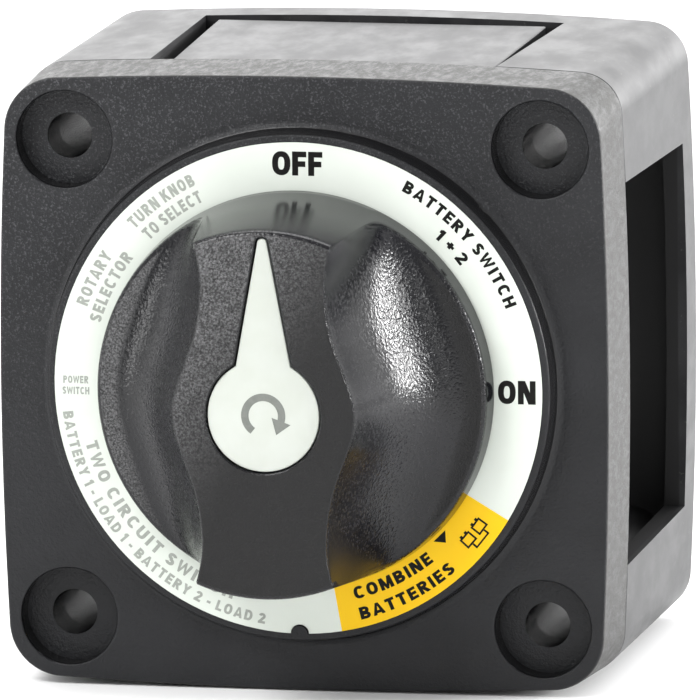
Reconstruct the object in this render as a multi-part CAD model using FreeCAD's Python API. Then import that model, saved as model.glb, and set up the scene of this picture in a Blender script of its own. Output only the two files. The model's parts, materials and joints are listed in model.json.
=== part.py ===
import FreeCAD, Part
import math
import os

# Rotary battery switch for a boat's bulkhead. Millimetres.
# Frame: X to the right, Y to the back, Z up. The origin is the centre of the rear mounting face.
# Every Y value in front of the mounting face is negative. The dial faces -Y, with OFF at the top.
# Angles on the dial are degrees clockwise from the top, as a person facing the dial sees them.

# Case
CASE_DEPTH = 54.0
BAND_DEPTH = 12.3
HOUSING_HALF = 35.0
COVER_HALF = 35.15
HOUSING_CORNER_RADIUS = 6.2
COVER_CORNER_RADIUS = 4.9
CROWN_RADIUS = 560.0
HOUSING_WALL = 2.5
COVER_WALL = 2.4
COVER_BACK = 3.0
FLANGE_THICKNESS = 3.5
FRONT_EDGE_ROUND = 0.3
SEAM_ROUND = 0.25
REAR_EDGE_ROUND = 1.4

# Mounting holes
HOLE_SPACING = 54.6
HOLE_RADIUS = 2.6
HOLE_LENGTH = 6.0
COUNTERBORE_RADIUS = 5.5
COUNTERBORE_DEPTH = 3.0
COUNTERBORE_ROUND = 0.3
HOUSING_POST_RADIUS = 6.6
COVER_POST_RADIUS = 5.4
POST_SOCKET_RADIUS = 4.0
COVER_SPIGOT_RADIUS = 3.9
COVER_SPIGOT_LENGTH = 2.6
COVER_BORE_RADIUS = 3.0

# Cable windows and the plates that close two of them
WINDOW_HALF_FRONT = 21.9
WINDOW_HALF_REAR = 21.1
WINDOW_REAR_RIM = 7.0
DOVETAIL_HALF_FRONT = 20.0
DOVETAIL_HALF_REAR = 21.0
PLATE_HALF_FRONT = 18.6
PLATE_HALF_REAR = 19.2
PLATE_REAR_GAP = 1.5
PLATE_TOP_FRONT = 33.75
PLATE_TOP_REAR = 34.55
PLATE_FLANGE_HALF = 22.2
PLATE_FLANGE_LOW = 30.2
PLATE_FLANGE_TOP = 31.8

# Dial boss and label
BOSS_RISE = 2.9
BOSS_RADIUS = 28.85
BOSS_DRAFT = 0.35
BOSS_FOOT_ROUND = 1.0
BOSS_POCKET_RADIUS = 25.5
BOSS_WALL = 2.8
LABEL_OUTER = 28.0
LABEL_INNER = 21.8
LABEL_THICKNESS = 0.25
NOTCH_RADIUS = 1.05
KEY_HEIGHT = 0.5
KEY_CLEARANCE = 0.15

# Knob
KNOB_RISE = 22.0
KNOB_RADIUS = 22.65
RIDGE_END_RADIUS = 20.8
KNOB_GAP = 0.5
SOCKET_DEPTH = 12.1
CORE_WALL = 3.2
CORE_HALF_WIDTH = 5.2
CORE_REACH = (10.6, 17.0)
RIM_RISE = 3.7
RIDGE_HALF_NARROW = 7.0
RIDGE_BULGE = 3.4
RIDGE_BULGE_REACH = 7.5
RIDGE_FLARE = 1.6
RIDGE_FLARE_START = 14.0
SCOOP_POWER = 2.6
TURN_DEGREES = 135.0
STOP_ANGLE = 120.0
STOP_HALF_DEGREES = 7.0
STOP_SPARE_DEGREES = 0.5
STOP_INNER = 12.0
STOP_OUTER = 16.0

# Pointer insert and the screw below it
POINTER_DISC = 6.35
POINTER_TIP = 20.0
POINTER_TIP_RADIUS = 0.55
POINTER_HALF_BASE = 3.1
POINTER_THICKNESS = 0.7
POINTER_POCKET = 0.9
POINTER_CLEARANCE = 0.15
SCREW_HEAD_RADIUS = 3.7
SCREW_HEAD_HEIGHT = 2.4
SCREW_RADIUS = 1.97
SCREW_TAPPED_RADIUS = 2.0

# Shaft and its bearing
JOURNAL_RADIUS = 5.0
RUNNING_GAP = 0.05
SLEEVE_RADIUS = 8.0
SLEEVE_RISE = 4.0
KNOB_DRIVE_FLATS = 8.0
CARRIER_DRIVE_FLATS = 7.0
PILOT_RADIUS = 3.0
SEAL_WIRE = 0.6
SEAL_DEPTH = 1.6
THRUST_WASHER_OUTER = 8.5

# Contact chamber
CHAMBER_WALL = 1.9
GASKET_THICKNESS = 0.8
BASE_FRONT = -44.4
BASE_FLANGE_RADIUS = 31.9
BASE_FLANGE_THICKNESS = 2.5
BASE_RADIUS = 28.0
BASE_BACK = -33.7
BASE_SCREW_CIRCLE = 29.4
BASE_SCREW_ANGLES = (20.0, 110.0, 200.0, 290.0)
BASE_SCREW_REACH = 5.1
BASE_SCREW_RADIUS = 1.2
BASE_SCREW_HEAD = (2.3, 1.7)
BASE_SCREW_SLOT = (0.7, 0.7)
PILLAR_RADIUS = 2.0

# Contacts
STUD_OFFSET = 14.0
STUD_RADIUS = 4.76
STUD_SPIGOT = 3.6
STUD_COLLAR_FLATS = 11.0
STUD_COLLAR_HEIGHT = 3.0
STUD_END = -12.5
PLATE_PROUD = 0.3
CONTACT_THICKNESS = 2.0
OUTER_RING = (15.8, 20.4)
INNER_RING = (9.5, 14.1)
EYE_RADIUS = 5.2
FINGER_HALF = 1.6
FINGER_START = 5.2
BRIDGE_ANGLE = 160.0
COMBINE_ANGLE = 185.0

# Carrier, bridges and their springs
CARRIER_RADIUS = 22.0
CARRIER_FRONT = -53.1
CARRIER_BACK = -46.9
BRIDGE_FRONT = -48.7
BRIDGE_BACK = -46.7
BRIDGE_HALF = 3.0
BRIDGE_REACH = (9.5, 20.7)
TIP_RADIUS = 1.6
CONTACT_GAP = 0.05
FLOAT_ROOM = 1.6
SPRING_BORE_RADIUS = 2.4
SPRING_SEAT = -52.4
COMBINE_RING = (5.8, 8.3)
COMBINE_FRONT = -48.4
COMBINE_TIP_RADIUS = 1.15
COMBINE_TIP_CIRCLE = 7.05
COMBINE_POCKET_DEPTH = 3.7
COMBINE_SPRING_TURNS = 3.0
COMBINE_SPRING_COIL = 0.85
COMBINE_SPRING_WIRE = 0.2
BRIDGE_SPRING_TURNS = 3.0
BRIDGE_SPRING_RADIUS = 1.85
BRIDGE_WIRE_RADIUS = 0.3

# Detent springs
DETENT_ANGLES = (90.0, 270.0)
DETENT_NOTCH_RADIUS = 2.2
DETENT_NOTCH_CIRCLE = 23.0
DETENT_WIDTH = 4.0
DETENT_FRONT = -52.7
DETENT_RIB = (18.2, 21.0)
DETENT_RIB_INNER = 23.4

# Terminal hardware
NUT_FLATS = 14.3
WASHER_OUTER = 9.6
WASHER_THICKNESS = 1.5
JAM_NUT_HEIGHT = 5.6
LOCK_WASHER_OUTER = 8.2
LOCK_WASHER_THICKNESS = 2.0
LOCK_WASHER_SLIT = 1.0
TERMINAL_NUT_HEIGHT = 8.0
THREAD_GAP = 0.02

# Places worked out from the dimensions above
FLANGE_Y = -CASE_DEPTH
SEAM_Y = FLANGE_Y + BAND_DEPTH
BOSS_Y = FLANGE_Y - BOSS_RISE
BOSS_INSIDE = BOSS_Y + BOSS_WALL
PLATE_INSIDE = FLANGE_Y + FLANGE_THICKNESS
LABEL_Y = BOSS_Y - LABEL_THICKNESS
KNOB_BASE = BOSS_Y - KNOB_GAP
KNOB_FACE = FLANGE_Y - KNOB_RISE
RIM_Y = LABEL_Y - RIM_RISE
RIDGE_RISE = RIM_Y - KNOB_FACE
SLEEVE_END = BOSS_Y - SLEEVE_RISE
CONTACT_FACE = BASE_FRONT - PLATE_PROUD
CONTACT_BACK = CONTACT_FACE + CONTACT_THICKNESS
COLLAR_BACK = CONTACT_BACK + STUD_COLLAR_HEIGHT
STUD_CIRCLE = STUD_OFFSET * math.sqrt(2.0)
SOCKET_END = KNOB_BASE - SOCKET_DEPTH
POST_PLACES = [(x, z) for x in (-1, 1) for z in (-1, 1)]


def vec(x, y, z):
    return FreeCAD.Vector(x, y, z)


def polar(radius, degrees):
    """X and Z of a point at a dial angle."""
    angle = math.radians(degrees)
    return radius * math.sin(angle), radius * math.cos(angle)


def rod(radius, front, back, x=0.0, z=0.0):
    """A cylinder along Y."""
    return Part.makeCylinder(radius, back - front, vec(x, front, z), vec(0, 1, 0))


def tube(outer, inner, front, back, x=0.0, z=0.0):
    return rod(outer, front, back, x, z).cut(rod(inner, front - 1, back + 1, x, z))


def block(x0, x1, y0, y1, z0, z1):
    return Part.makeBox(x1 - x0, y1 - y0, z1 - z0, vec(x0, y0, z0))


def turned(shape, degrees):
    """A copy of a shape at another dial angle."""
    copy = shape.copy()
    copy.rotate(vec(0, 0, 0), vec(0, 1, 0), degrees)
    return copy


def extruded(edges, length):
    """A prism along +Y of an outline that lies in one XZ plane."""
    return Part.Face(Part.Wire(edges)).extrude(vec(0, length, 0))


def arc(start, middle, end):
    return Part.Arc(start, middle, end).toShape()


def line(start, end):
    return Part.LineSegment(start, end).toShape()


def sector(inner, outer, start, end, front, back):
    """A stretch of a ring between two dial angles."""
    middle = (start + end) / 2

    def at(radius, degrees):
        x, z = polar(radius, degrees)
        return vec(x, front, z)

    edges = [
        line(at(inner, start), at(outer, start)),
        arc(at(outer, start), at(outer, middle), at(outer, end)),
        line(at(outer, end), at(inner, end)),
        arc(at(inner, end), at(inner, middle), at(inner, start)),
    ]
    return extruded(edges, back - front)


def hex_bar(flats, front, back, x=0.0, z=0.0):
    """A hexagonal bar along Y, with two flats facing up and down."""
    corner = flats / math.sqrt(3.0)
    points = []
    for step in range(7):
        dx, dz = polar(corner, 30.0 + 60.0 * step)
        points.append(vec(x + dx, front, z + dz))
    return Part.Face(Part.makePolygon(points)).extrude(vec(0, back - front, 0))


def crowned_outline(half, corner_radius, y):
    """A square whose four sides bow outwards and whose corners are round."""
    inset = CROWN_RADIUS - half
    reach = CROWN_RADIUS - corner_radius
    corner = (math.sqrt(2 * reach ** 2 - inset ** 2) - inset) / 2
    scale = CROWN_RADIUS / reach
    near = corner * scale
    far = (corner + inset) * scale - inset
    tip = corner + corner_radius / math.sqrt(2.0)

    def side(turns):
        quarter = [(-near, far), (0.0, half), (near, far), (tip, tip), (far, near)]
        points = []
        for x, z in quarter:
            for _ in range(turns):
                x, z = z, -x
            points.append(vec(x, y, z))
        return [arc(*points[0:3]), arc(*points[2:5])]

    return side(0) + side(1) + side(2) + side(3)


def crowned_square(half, corner_radius, front, back):
    """A prism with a crowned outline."""
    return extruded(crowned_outline(half, corner_radius, front), back - front)


def flange_block():
    """The solid that the housing is cut from. It widens to the cover's outline at the seam."""
    front = Part.Wire(crowned_outline(HOUSING_HALF, HOUSING_CORNER_RADIUS, FLANGE_Y))
    back = Part.Wire(crowned_outline(COVER_HALF, COVER_CORNER_RADIUS, SEAM_Y))
    return Part.makeLoft([front, back], True, True)


def rounded_at(shape, y, radius):
    """Rounds every edge that lies in the plane at y."""
    edges = [e for e in shape.Edges if all(abs(v.Y - y) < 1e-6 for v in e.Vertexes)]
    return shape.makeFillet(radius, edges)


def round_circles(shape, y, circle_radius, size):
    """Rounds the circular edges of one radius that lie in the plane at y."""
    edges = []
    for edge in shape.Edges:
        if isinstance(edge.Curve, Part.Circle) and abs(edge.CenterOfMass.y - y) < 1e-3:
            if abs(edge.Curve.Radius - circle_radius) < 1e-3:
                edges.append(edge)
    return shape.makeFillet(size, edges)


def helix_spring(coil_radius, wire_radius, front, back, turns, x=0.0, z=0.0):
    """A round-wire coil spring along Y that fits between two seats."""
    height = back - front - 2 * wire_radius
    path = Part.makeHelix(height / turns, height, coil_radius)
    section = Part.Wire(Part.makeCircle(wire_radius, vec(coil_radius, 0, 0), vec(0, 1, 0)))
    coil = Part.Wire(path).makePipeShell([section], True, True)
    coil.rotate(vec(0, 0, 0), vec(1, 0, 0), -90)
    coil.translate(vec(x, front + wire_radius, z))
    return coil


def at_posts(make):
    """One shape for each of the four corner posts."""
    half = HOLE_SPACING / 2
    return [make(x * half, z * half) for x, z in POST_PLACES]


def at_studs(make):
    """One shape for each of the four studs."""
    return [make(x * STUD_OFFSET, z * STUD_OFFSET) for x, z in POST_PLACES]


def dial_boss():
    base_radius = BOSS_RADIUS + BOSS_DRAFT
    boss = Part.makeCone(base_radius, BOSS_RADIUS, BOSS_RISE, vec(0, FLANGE_Y, 0), vec(0, -1, 0))
    boss = rounded_at(boss, BOSS_Y, FRONT_EDGE_ROUND)
    key = rod(NOTCH_RADIUS - KEY_CLEARANCE, BOSS_Y - KEY_HEIGHT, BOSS_Y, 0, -LABEL_OUTER)
    key = key.common(rod(LABEL_OUTER, BOSS_Y - KEY_HEIGHT, BOSS_Y))
    return boss.fuse(key)


def screw_pillar(x, z):
    return rod(PILLAR_RADIUS, PLATE_INSIDE - 0.5, BASE_FRONT, x, z)


def base_screw_places():
    return [polar(BASE_SCREW_CIRCLE, angle) for angle in BASE_SCREW_ANGLES]


def detent_ribs():
    """Short ribs on the chamber wall that hold both ends of each detent spring."""
    ribs = []
    for angle in DETENT_ANGLES:
        for side in (-1, 1):
            ends = sorted((angle + side * DETENT_RIB[0], angle + side * DETENT_RIB[1]))
            back = DETENT_FRONT + DETENT_WIDTH
            places = (*ends, DETENT_FRONT, back)
            ribs.append(sector(DETENT_RIB_INNER, BOSS_POCKET_RADIUS + 0.5, *places))
    return ribs


def front_housing():
    counterbore_floor = FLANGE_Y + COUNTERBORE_DEPTH
    shell = flange_block()
    shell = rounded_at(shell, FLANGE_Y, FRONT_EDGE_ROUND)
    shell = rounded_at(shell, SEAM_Y, SEAM_ROUND)
    shell = shell.fuse(dial_boss())
    shell = round_circles(shell, FLANGE_Y, BOSS_RADIUS + BOSS_DRAFT, BOSS_FOOT_ROUND)
    mouths = at_posts(lambda x, z: rod(COUNTERBORE_RADIUS, FLANGE_Y - 1, counterbore_floor, x, z))
    shell = shell.cut(Part.makeCompound(mouths))
    shell = round_circles(shell, FLANGE_Y, COUNTERBORE_RADIUS, COUNTERBORE_ROUND)
    inner_corner = HOUSING_CORNER_RADIUS - HOUSING_WALL
    inside = crowned_square(HOUSING_HALF - HOUSING_WALL, inner_corner, PLATE_INSIDE, SEAM_Y + 1)
    shell = shell.cut(inside)
    posts = at_posts(lambda x, z: rod(HOUSING_POST_RADIUS, PLATE_INSIDE - 0.2, SEAM_Y, x, z))
    shell = shell.multiFuse(posts)
    wall_radius = BOSS_POCKET_RADIUS + CHAMBER_WALL
    wall_end = BASE_FRONT - GASKET_THICKNESS
    chamber = tube(wall_radius, BOSS_POCKET_RADIUS, PLATE_INSIDE - 0.5, wall_end)
    pillars = [screw_pillar(x, z) for x, z in base_screw_places()]
    shell = shell.multiFuse([chamber] + pillars)
    shell = shell.cut(rod(BOSS_POCKET_RADIUS, BOSS_INSIDE, wall_end))
    shell = shell.multiFuse(detent_ribs() + [rod(SLEEVE_RADIUS, SLEEVE_END, BOSS_INSIDE)])
    cuts = [rod(JOURNAL_RADIUS + RUNNING_GAP, SLEEVE_END - 1, BOSS_INSIDE + 1)]
    socket = counterbore_floor + HOLE_LENGTH
    cuts += at_posts(lambda x, z: rod(HOLE_RADIUS, counterbore_floor - 1, socket + 1, x, z))
    cuts += at_posts(lambda x, z: rod(POST_SOCKET_RADIUS, socket, SEAM_Y + 1, x, z))
    tip = BASE_FRONT - BASE_SCREW_REACH
    hole = BASE_SCREW_RADIUS + RUNNING_GAP
    cuts += [rod(hole, tip - 0.4, BASE_FRONT + 1, x, z) for x, z in base_screw_places()]
    cuts.append(stop_groove())
    return shell.cut(Part.makeCompound(cuts))


def stop_groove():
    """The arc-shaped groove that limits how far the knob turns."""
    spare = STOP_HALF_DEGREES + STOP_SPARE_DEGREES
    start = STOP_ANGLE - spare
    end = STOP_ANGLE + TURN_DEGREES + spare
    return sector(STOP_INNER - 0.4, STOP_OUTER + 0.4, start, end, BOSS_Y - 1, BOSS_Y + 1.5)


def dial_label():
    ring = tube(LABEL_OUTER, LABEL_INNER, LABEL_Y, BOSS_Y)
    return ring.cut(rod(NOTCH_RADIUS, LABEL_Y - 1, BOSS_Y + 1, 0, -LABEL_OUTER))


def trapezium(half_front, half_rear, front, rear, low, height):
    """A block whose width changes from its front to its rear."""
    points = [
        vec(-half_front, front, low),
        vec(half_front, front, low),
        vec(half_rear, rear, low),
        vec(-half_rear, rear, low),
        vec(-half_front, front, low),
    ]
    return Part.Face(Part.makePolygon(points)).extrude(vec(0, 0, height))


def window(half_front, half_rear, degrees):
    """A window through the cover's wall at a dial angle. It opens at the seam."""
    hole = trapezium(half_front, half_rear, SEAM_Y - 0.001, -WINDOW_REAR_RIM, 30, 10)
    return turned(hole, degrees)


def cover_post(x, z):
    return rod(COVER_POST_RADIUS, SEAM_Y, -COVER_BACK + 0.5, x, z)


def cover_spigot(x, z):
    return rod(COVER_SPIGOT_RADIUS, SEAM_Y - COVER_SPIGOT_LENGTH, SEAM_Y + 1, x, z)


def rear_cover():
    shell = crowned_square(COVER_HALF, COVER_CORNER_RADIUS, SEAM_Y, 0.0)
    shell = rounded_at(shell, 0.0, REAR_EDGE_ROUND)
    shell = rounded_at(shell, SEAM_Y, SEAM_ROUND)
    inner_corner = COVER_CORNER_RADIUS - COVER_WALL
    inside = crowned_square(COVER_HALF - COVER_WALL, inner_corner, SEAM_Y - 1, -COVER_BACK)
    shell = shell.cut(inside)
    shell = shell.multiFuse(at_posts(cover_post) + at_posts(cover_spigot))
    front = SEAM_Y - COVER_SPIGOT_LENGTH - 1
    cuts = at_posts(lambda x, z: rod(COVER_BORE_RADIUS, front, -COVER_BACK, x, z))
    cuts += at_posts(lambda x, z: rod(HOLE_RADIUS, -COVER_BACK - 1, 1, x, z))
    for degrees in (0, 180):
        cuts.append(window(DOVETAIL_HALF_FRONT, DOVETAIL_HALF_REAR, degrees))
        cuts.append(window(WINDOW_HALF_FRONT, WINDOW_HALF_REAR, degrees + 90))
    return shell.cut(Part.makeCompound(cuts))


def side_plate():
    """The loose plate in the top window. A flange inside the wall keeps it in."""
    front = SEAM_Y + 0.1
    rear = -WINDOW_REAR_RIM - PLATE_REAR_GAP
    half_rear = PLATE_HALF_REAR
    profile = [
        vec(-half_rear, front, PLATE_FLANGE_LOW),
        vec(-half_rear, rear, PLATE_FLANGE_LOW),
        vec(-half_rear, rear, PLATE_TOP_REAR),
        vec(-half_rear, front, PLATE_TOP_FRONT),
        vec(-half_rear, front, PLATE_FLANGE_LOW),
    ]
    body = Part.Face(Part.makePolygon(profile)).extrude(vec(2 * half_rear, 0, 0))
    plan = trapezium(PLATE_HALF_FRONT, half_rear, front, rear, PLATE_FLANGE_LOW, 10)
    body = body.common(plan)
    flange_ends = (SEAM_Y + 2.2, rear + 3.0)
    flange_heights = (PLATE_FLANGE_LOW, PLATE_FLANGE_TOP)
    flange = block(-PLATE_FLANGE_HALF, PLATE_FLANGE_HALF, *flange_ends, *flange_heights)
    return body.fuse(flange)


def contact_base():
    base = rod(BASE_FLANGE_RADIUS, BASE_FRONT, BASE_FRONT + BASE_FLANGE_THICKNESS)
    base = base.fuse(rod(BASE_RADIUS, BASE_FRONT, BASE_BACK))
    pockets = [shape.copy() for shape in contact_blanks()]
    pockets.append(rod(PILOT_RADIUS + RUNNING_GAP, BASE_FRONT - 1, BASE_FRONT + 4.4))
    collar = STUD_COLLAR_FLATS
    pockets += at_studs(lambda x, z: hex_bar(collar, CONTACT_BACK - 0.5, COLLAR_BACK, x, z))
    hole = STUD_RADIUS + 0.1
    pockets += at_studs(lambda x, z: rod(hole, COLLAR_BACK - 1, BASE_BACK + 1, x, z))
    back = BASE_FRONT + BASE_FLANGE_THICKNESS
    free, head = BASE_SCREW_RADIUS + 0.2, BASE_SCREW_HEAD[0] + 0.3
    pockets += [rod(free, BASE_FRONT - 1, back + 1, x, z) for x, z in base_screw_places()]
    pockets += [rod(head, back, BASE_BACK + 1, x, z) for x, z in base_screw_places()]
    return base.cut(Part.makeCompound(pockets))


def base_gasket():
    outer = BOSS_POCKET_RADIUS + CHAMBER_WALL - 0.2
    return tube(outer, BOSS_POCKET_RADIUS + 0.1, BASE_FRONT - GASKET_THICKNESS, BASE_FRONT)


def base_screw(x, z):
    seat = BASE_FRONT + BASE_FLANGE_THICKNESS
    head_radius, head_height = BASE_SCREW_HEAD
    slot_width, slot_depth = BASE_SCREW_SLOT
    top = seat + head_height
    shank = rod(BASE_SCREW_RADIUS, BASE_FRONT - BASE_SCREW_REACH, seat + 0.5, x, z)
    head = rounded_at(rod(head_radius, seat, top, x, z), top, 0.5)
    half = slot_width / 2
    slot = block(x - 3, x + 3, top - slot_depth, top + 1, z - half, z + half)
    return shank.fuse(head).cut(slot)


def battery_blank():
    """The battery plate: an arc under the outer tip, an eye, and a finger for combining."""
    stud_angle = 315.0
    places = (CONTACT_FACE, CONTACT_BACK)
    x, z = polar(STUD_CIRCLE, stud_angle)
    pad = sector(*OUTER_RING, 244.5, stud_angle, *places)
    eye = rod(EYE_RADIUS, *places, x, z)
    finger = block(-FINGER_HALF, FINGER_HALF, *places, FINGER_START, OUTER_RING[0] + 1.5)
    return pad.multiFuse([eye, turned(finger, COMBINE_ANGLE + TURN_DEGREES)])


def load_blank():
    """The load plate: an arc under the inner tip and an arm out to its stud."""
    stud_angle = 225.0
    places = (CONTACT_FACE, CONTACT_BACK)
    x, z = polar(STUD_CIRCLE, stud_angle)
    pad = sector(*INNER_RING, 218.0, 302.0, *places)
    arm = sector(INNER_RING[0], STUD_CIRCLE, 218.0, 232.0, *places)
    return pad.multiFuse([arm, rod(EYE_RADIUS, *places, x, z)])


def contact_blanks():
    """The four fixed contacts without their stud holes: battery 1, load 1, battery 2, load 2."""
    first = [battery_blank(), load_blank()]
    return first + [turned(shape, 180) for shape in first]


def fixed_contact(blank):
    holes = at_studs(lambda x, z: rod(STUD_SPIGOT, CONTACT_FACE - 1, CONTACT_BACK + 1, x, z))
    return blank.cut(Part.makeCompound(holes))


def stud(x, z):
    spigot = rod(STUD_SPIGOT, CONTACT_FACE + 0.1, CONTACT_BACK, x, z)
    collar = hex_bar(STUD_COLLAR_FLATS, CONTACT_BACK, COLLAR_BACK, x, z)
    shank = rounded_at(rod(STUD_RADIUS, COLLAR_BACK, STUD_END, x, z), STUD_END, 0.6)
    return spigot.multiFuse([collar, shank])


def nut(x, z, front, height):
    blank = hex_bar(NUT_FLATS, front, front + height, x, z)
    corner = NUT_FLATS / math.sqrt(3.0)
    middle = front + height / 2
    slope = vec(x, middle, z)
    half = height / 2
    spread = corner + 0.2
    front_cone = Part.makeCone(spread + 1.2 * half, spread - 0.55, half, slope, vec(0, -1, 0))
    back_cone = Part.makeCone(spread + 1.2 * half, spread - 0.55, half, slope, vec(0, 1, 0))
    blank = blank.common(front_cone.fuse(back_cone))
    return blank.cut(rod(STUD_RADIUS + THREAD_GAP, front - 1, front + height + 1, x, z))


def lock_washer(x, z, front):
    back = front + LOCK_WASHER_THICKNESS
    ring = tube(LOCK_WASHER_OUTER, STUD_RADIUS + 0.15, front, back, x, z)
    slit = block(-LOCK_WASHER_SLIT / 2, LOCK_WASHER_SLIT / 2, front - 1, back + 1, 0, 12)
    slit.translate(vec(x, 0, z))
    return ring.cut(slit)


def detent_spring(angle):
    """A flat spring whose middle bends inwards into the carrier's notches."""

    def at(across, out):
        return vec(across, DETENT_FRONT, out)

    edges = [
        line(at(-7.5, 24.4), at(-2.3, 23.5)),
        arc(at(-2.3, 23.5), at(0, 21.9), at(2.3, 23.5)),
        line(at(2.3, 23.5), at(7.5, 24.4)),
        line(at(7.5, 24.4), at(7.5, 24.0)),
        line(at(7.5, 24.0), at(2.6, 23.1)),
        arc(at(2.6, 23.1), at(0, 21.45), at(-2.6, 23.1)),
        line(at(-2.6, 23.1), at(-7.5, 24.0)),
        line(at(-7.5, 24.0), at(-7.5, 24.4)),
    ]
    return turned(extruded(edges, DETENT_WIDTH), angle)


def ridge_half(z):
    """Half the width of the grip ridge at a height on the dial."""
    bulge = RIDGE_BULGE * math.exp(-((z / RIDGE_BULGE_REACH) ** 2))
    beyond = max(0.0, abs(z) - RIDGE_FLARE_START) / 7.0
    return RIDGE_HALF_NARROW + bulge + RIDGE_FLARE * beyond ** 2


def scoop_section(z):
    """The outline of one finger scoop in a horizontal plane."""
    edge = ridge_half(z)
    rim = math.sqrt(max(KNOB_RADIUS ** 2 - z ** 2, 0.0))
    rim = max(rim, edge + 1.5)
    steps = 10
    points = []
    for step in range(steps + 1):
        along = step / steps
        drop = RIDGE_RISE * (1 - (1 - along) ** SCOOP_POWER)
        points.append(vec(edge + (rim - edge) * along, KNOB_FACE + drop, z))
    curve = Part.BSplineCurve()
    curve.interpolate(points)
    outer = 30.0
    above = KNOB_FACE - 3
    edges = [
        line(vec(edge, above, z), points[0]),
        curve.toShape(),
        line(points[-1], vec(outer, points[-1].y, z)),
        line(vec(outer, points[-1].y, z), vec(outer, above, z)),
        line(vec(outer, above, z), vec(edge, above, z)),
    ]
    return Part.Wire(edges)


def finger_scoop():
    heights = [-23.5, -20, -17, -14, -10, -5, 0, 5, 10, 14, 17, 20, 23.5]
    return Part.makeLoft([scoop_section(z) for z in heights], True, False)


def pointer_outline(grow, front, thickness):
    """The pointer's plan: a disc with a tapered needle that ends in a small round tip."""
    radius = POINTER_DISC + grow
    half = POINTER_HALF_BASE + grow
    base = math.sqrt(radius ** 2 - half ** 2)
    tip = POINTER_TIP_RADIUS + grow
    shoulder = POINTER_TIP - POINTER_TIP_RADIUS
    left, right = vec(-half, front, base), vec(half, front, base)
    tip_left, tip_right = vec(-tip, front, shoulder), vec(tip, front, shoulder)
    edges = [
        arc(left, vec(0, front, -radius), right),
        line(right, tip_right),
        arc(tip_right, vec(0, front, shoulder + tip), tip_left),
        line(tip_left, left),
    ]
    return extruded(edges, thickness)


def ridge_core():
    """A hollow that opens at the knob's base and keeps the ridge's wall even."""
    half = CORE_HALF_WIDTH
    return block(-half, half, KNOB_FACE + CORE_WALL, KNOB_BASE + 1, *CORE_REACH)


def knob():
    height = KNOB_BASE - KNOB_FACE
    blank = Part.makeCone(KNOB_RADIUS, RIDGE_END_RADIUS, height, vec(0, KNOB_BASE, 0), vec(0, -1, 0))
    scoop = finger_scoop()
    blank = blank.cut(scoop).cut(scoop.mirror(vec(0, 0, 0), vec(1, 0, 0)))
    pocket_floor = KNOB_FACE + POINTER_POCKET
    seat = pocket_floor + SCREW_HEAD_HEIGHT + 0.4
    cuts = [
        pointer_outline(POINTER_CLEARANCE, KNOB_FACE - 1, POINTER_POCKET + 1),
        rod(SCREW_HEAD_RADIUS + 0.3, pocket_floor - 1, seat),
        rod(SCREW_RADIUS + 0.2, seat - 1, SOCKET_END + 1),
        hex_bar(KNOB_DRIVE_FLATS, SOCKET_END, SLEEVE_END),
        rod(SLEEVE_RADIUS + 0.4, SLEEVE_END - 0.4, KNOB_BASE + 1),
        ridge_core(),
        turned(ridge_core(), 180),
    ]
    blank = blank.cut(Part.makeCompound(cuts))
    start, end = STOP_ANGLE - STOP_HALF_DEGREES, STOP_ANGLE + STOP_HALF_DEGREES
    lug = sector(STOP_INNER, STOP_OUTER, start, end, KNOB_BASE - 0.5, BOSS_Y + 1.2)
    return blank.fuse(lug)


def pointer_insert():
    front = KNOB_FACE + POINTER_POCKET - POINTER_THICKNESS
    return pointer_outline(0.0, front, POINTER_THICKNESS)


def knob_screw():
    seat = KNOB_FACE + POINTER_POCKET + SCREW_HEAD_HEIGHT + 0.4
    head = rod(SCREW_HEAD_RADIUS, seat - SCREW_HEAD_HEIGHT, seat)
    head = rounded_at(head, seat - SCREW_HEAD_HEIGHT, 0.6)
    shank = rod(SCREW_RADIUS, seat - 0.5, SOCKET_END + 7.0)
    screw = head.fuse(shank)
    top = seat - SCREW_HEAD_HEIGHT
    for long_x, long_z in ((2.2, 0.45), (0.45, 2.2)):
        screw = screw.cut(block(-long_x, long_x, top - 1, top + 1.2, -long_z, long_z))
    return screw


def rotor_shaft():
    groove = BOSS_Y - SEAL_DEPTH
    shaft = hex_bar(KNOB_DRIVE_FLATS, SOCKET_END, SLEEVE_END - 0.3)
    shaft = shaft.fuse(rod(JOURNAL_RADIUS, SLEEVE_END - 0.3, BOSS_INSIDE))
    shaft = shaft.fuse(hex_bar(CARRIER_DRIVE_FLATS, BOSS_INSIDE, CARRIER_BACK))
    shaft = shaft.fuse(rod(PILOT_RADIUS, CARRIER_BACK, BASE_FRONT + 4.0))
    shaft = shaft.cut(rod(SCREW_TAPPED_RADIUS, SOCKET_END - 1, SOCKET_END + 8.0))
    low = JOURNAL_RADIUS - 2 * SEAL_WIRE
    return shaft.cut(tube(JOURNAL_RADIUS + 1, low, groove - 0.8, groove + 0.8))


def shaft_seal():
    middle = JOURNAL_RADIUS - SEAL_WIRE
    return Part.makeTorus(middle, SEAL_WIRE, vec(0, BOSS_Y - SEAL_DEPTH, 0), vec(0, 1, 0))


def thrust_washer():
    places = (BOSS_INSIDE + RUNNING_GAP, CARRIER_FRONT - RUNNING_GAP)
    return tube(THRUST_WASHER_OUTER, JOURNAL_RADIUS + 0.1, *places)


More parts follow.
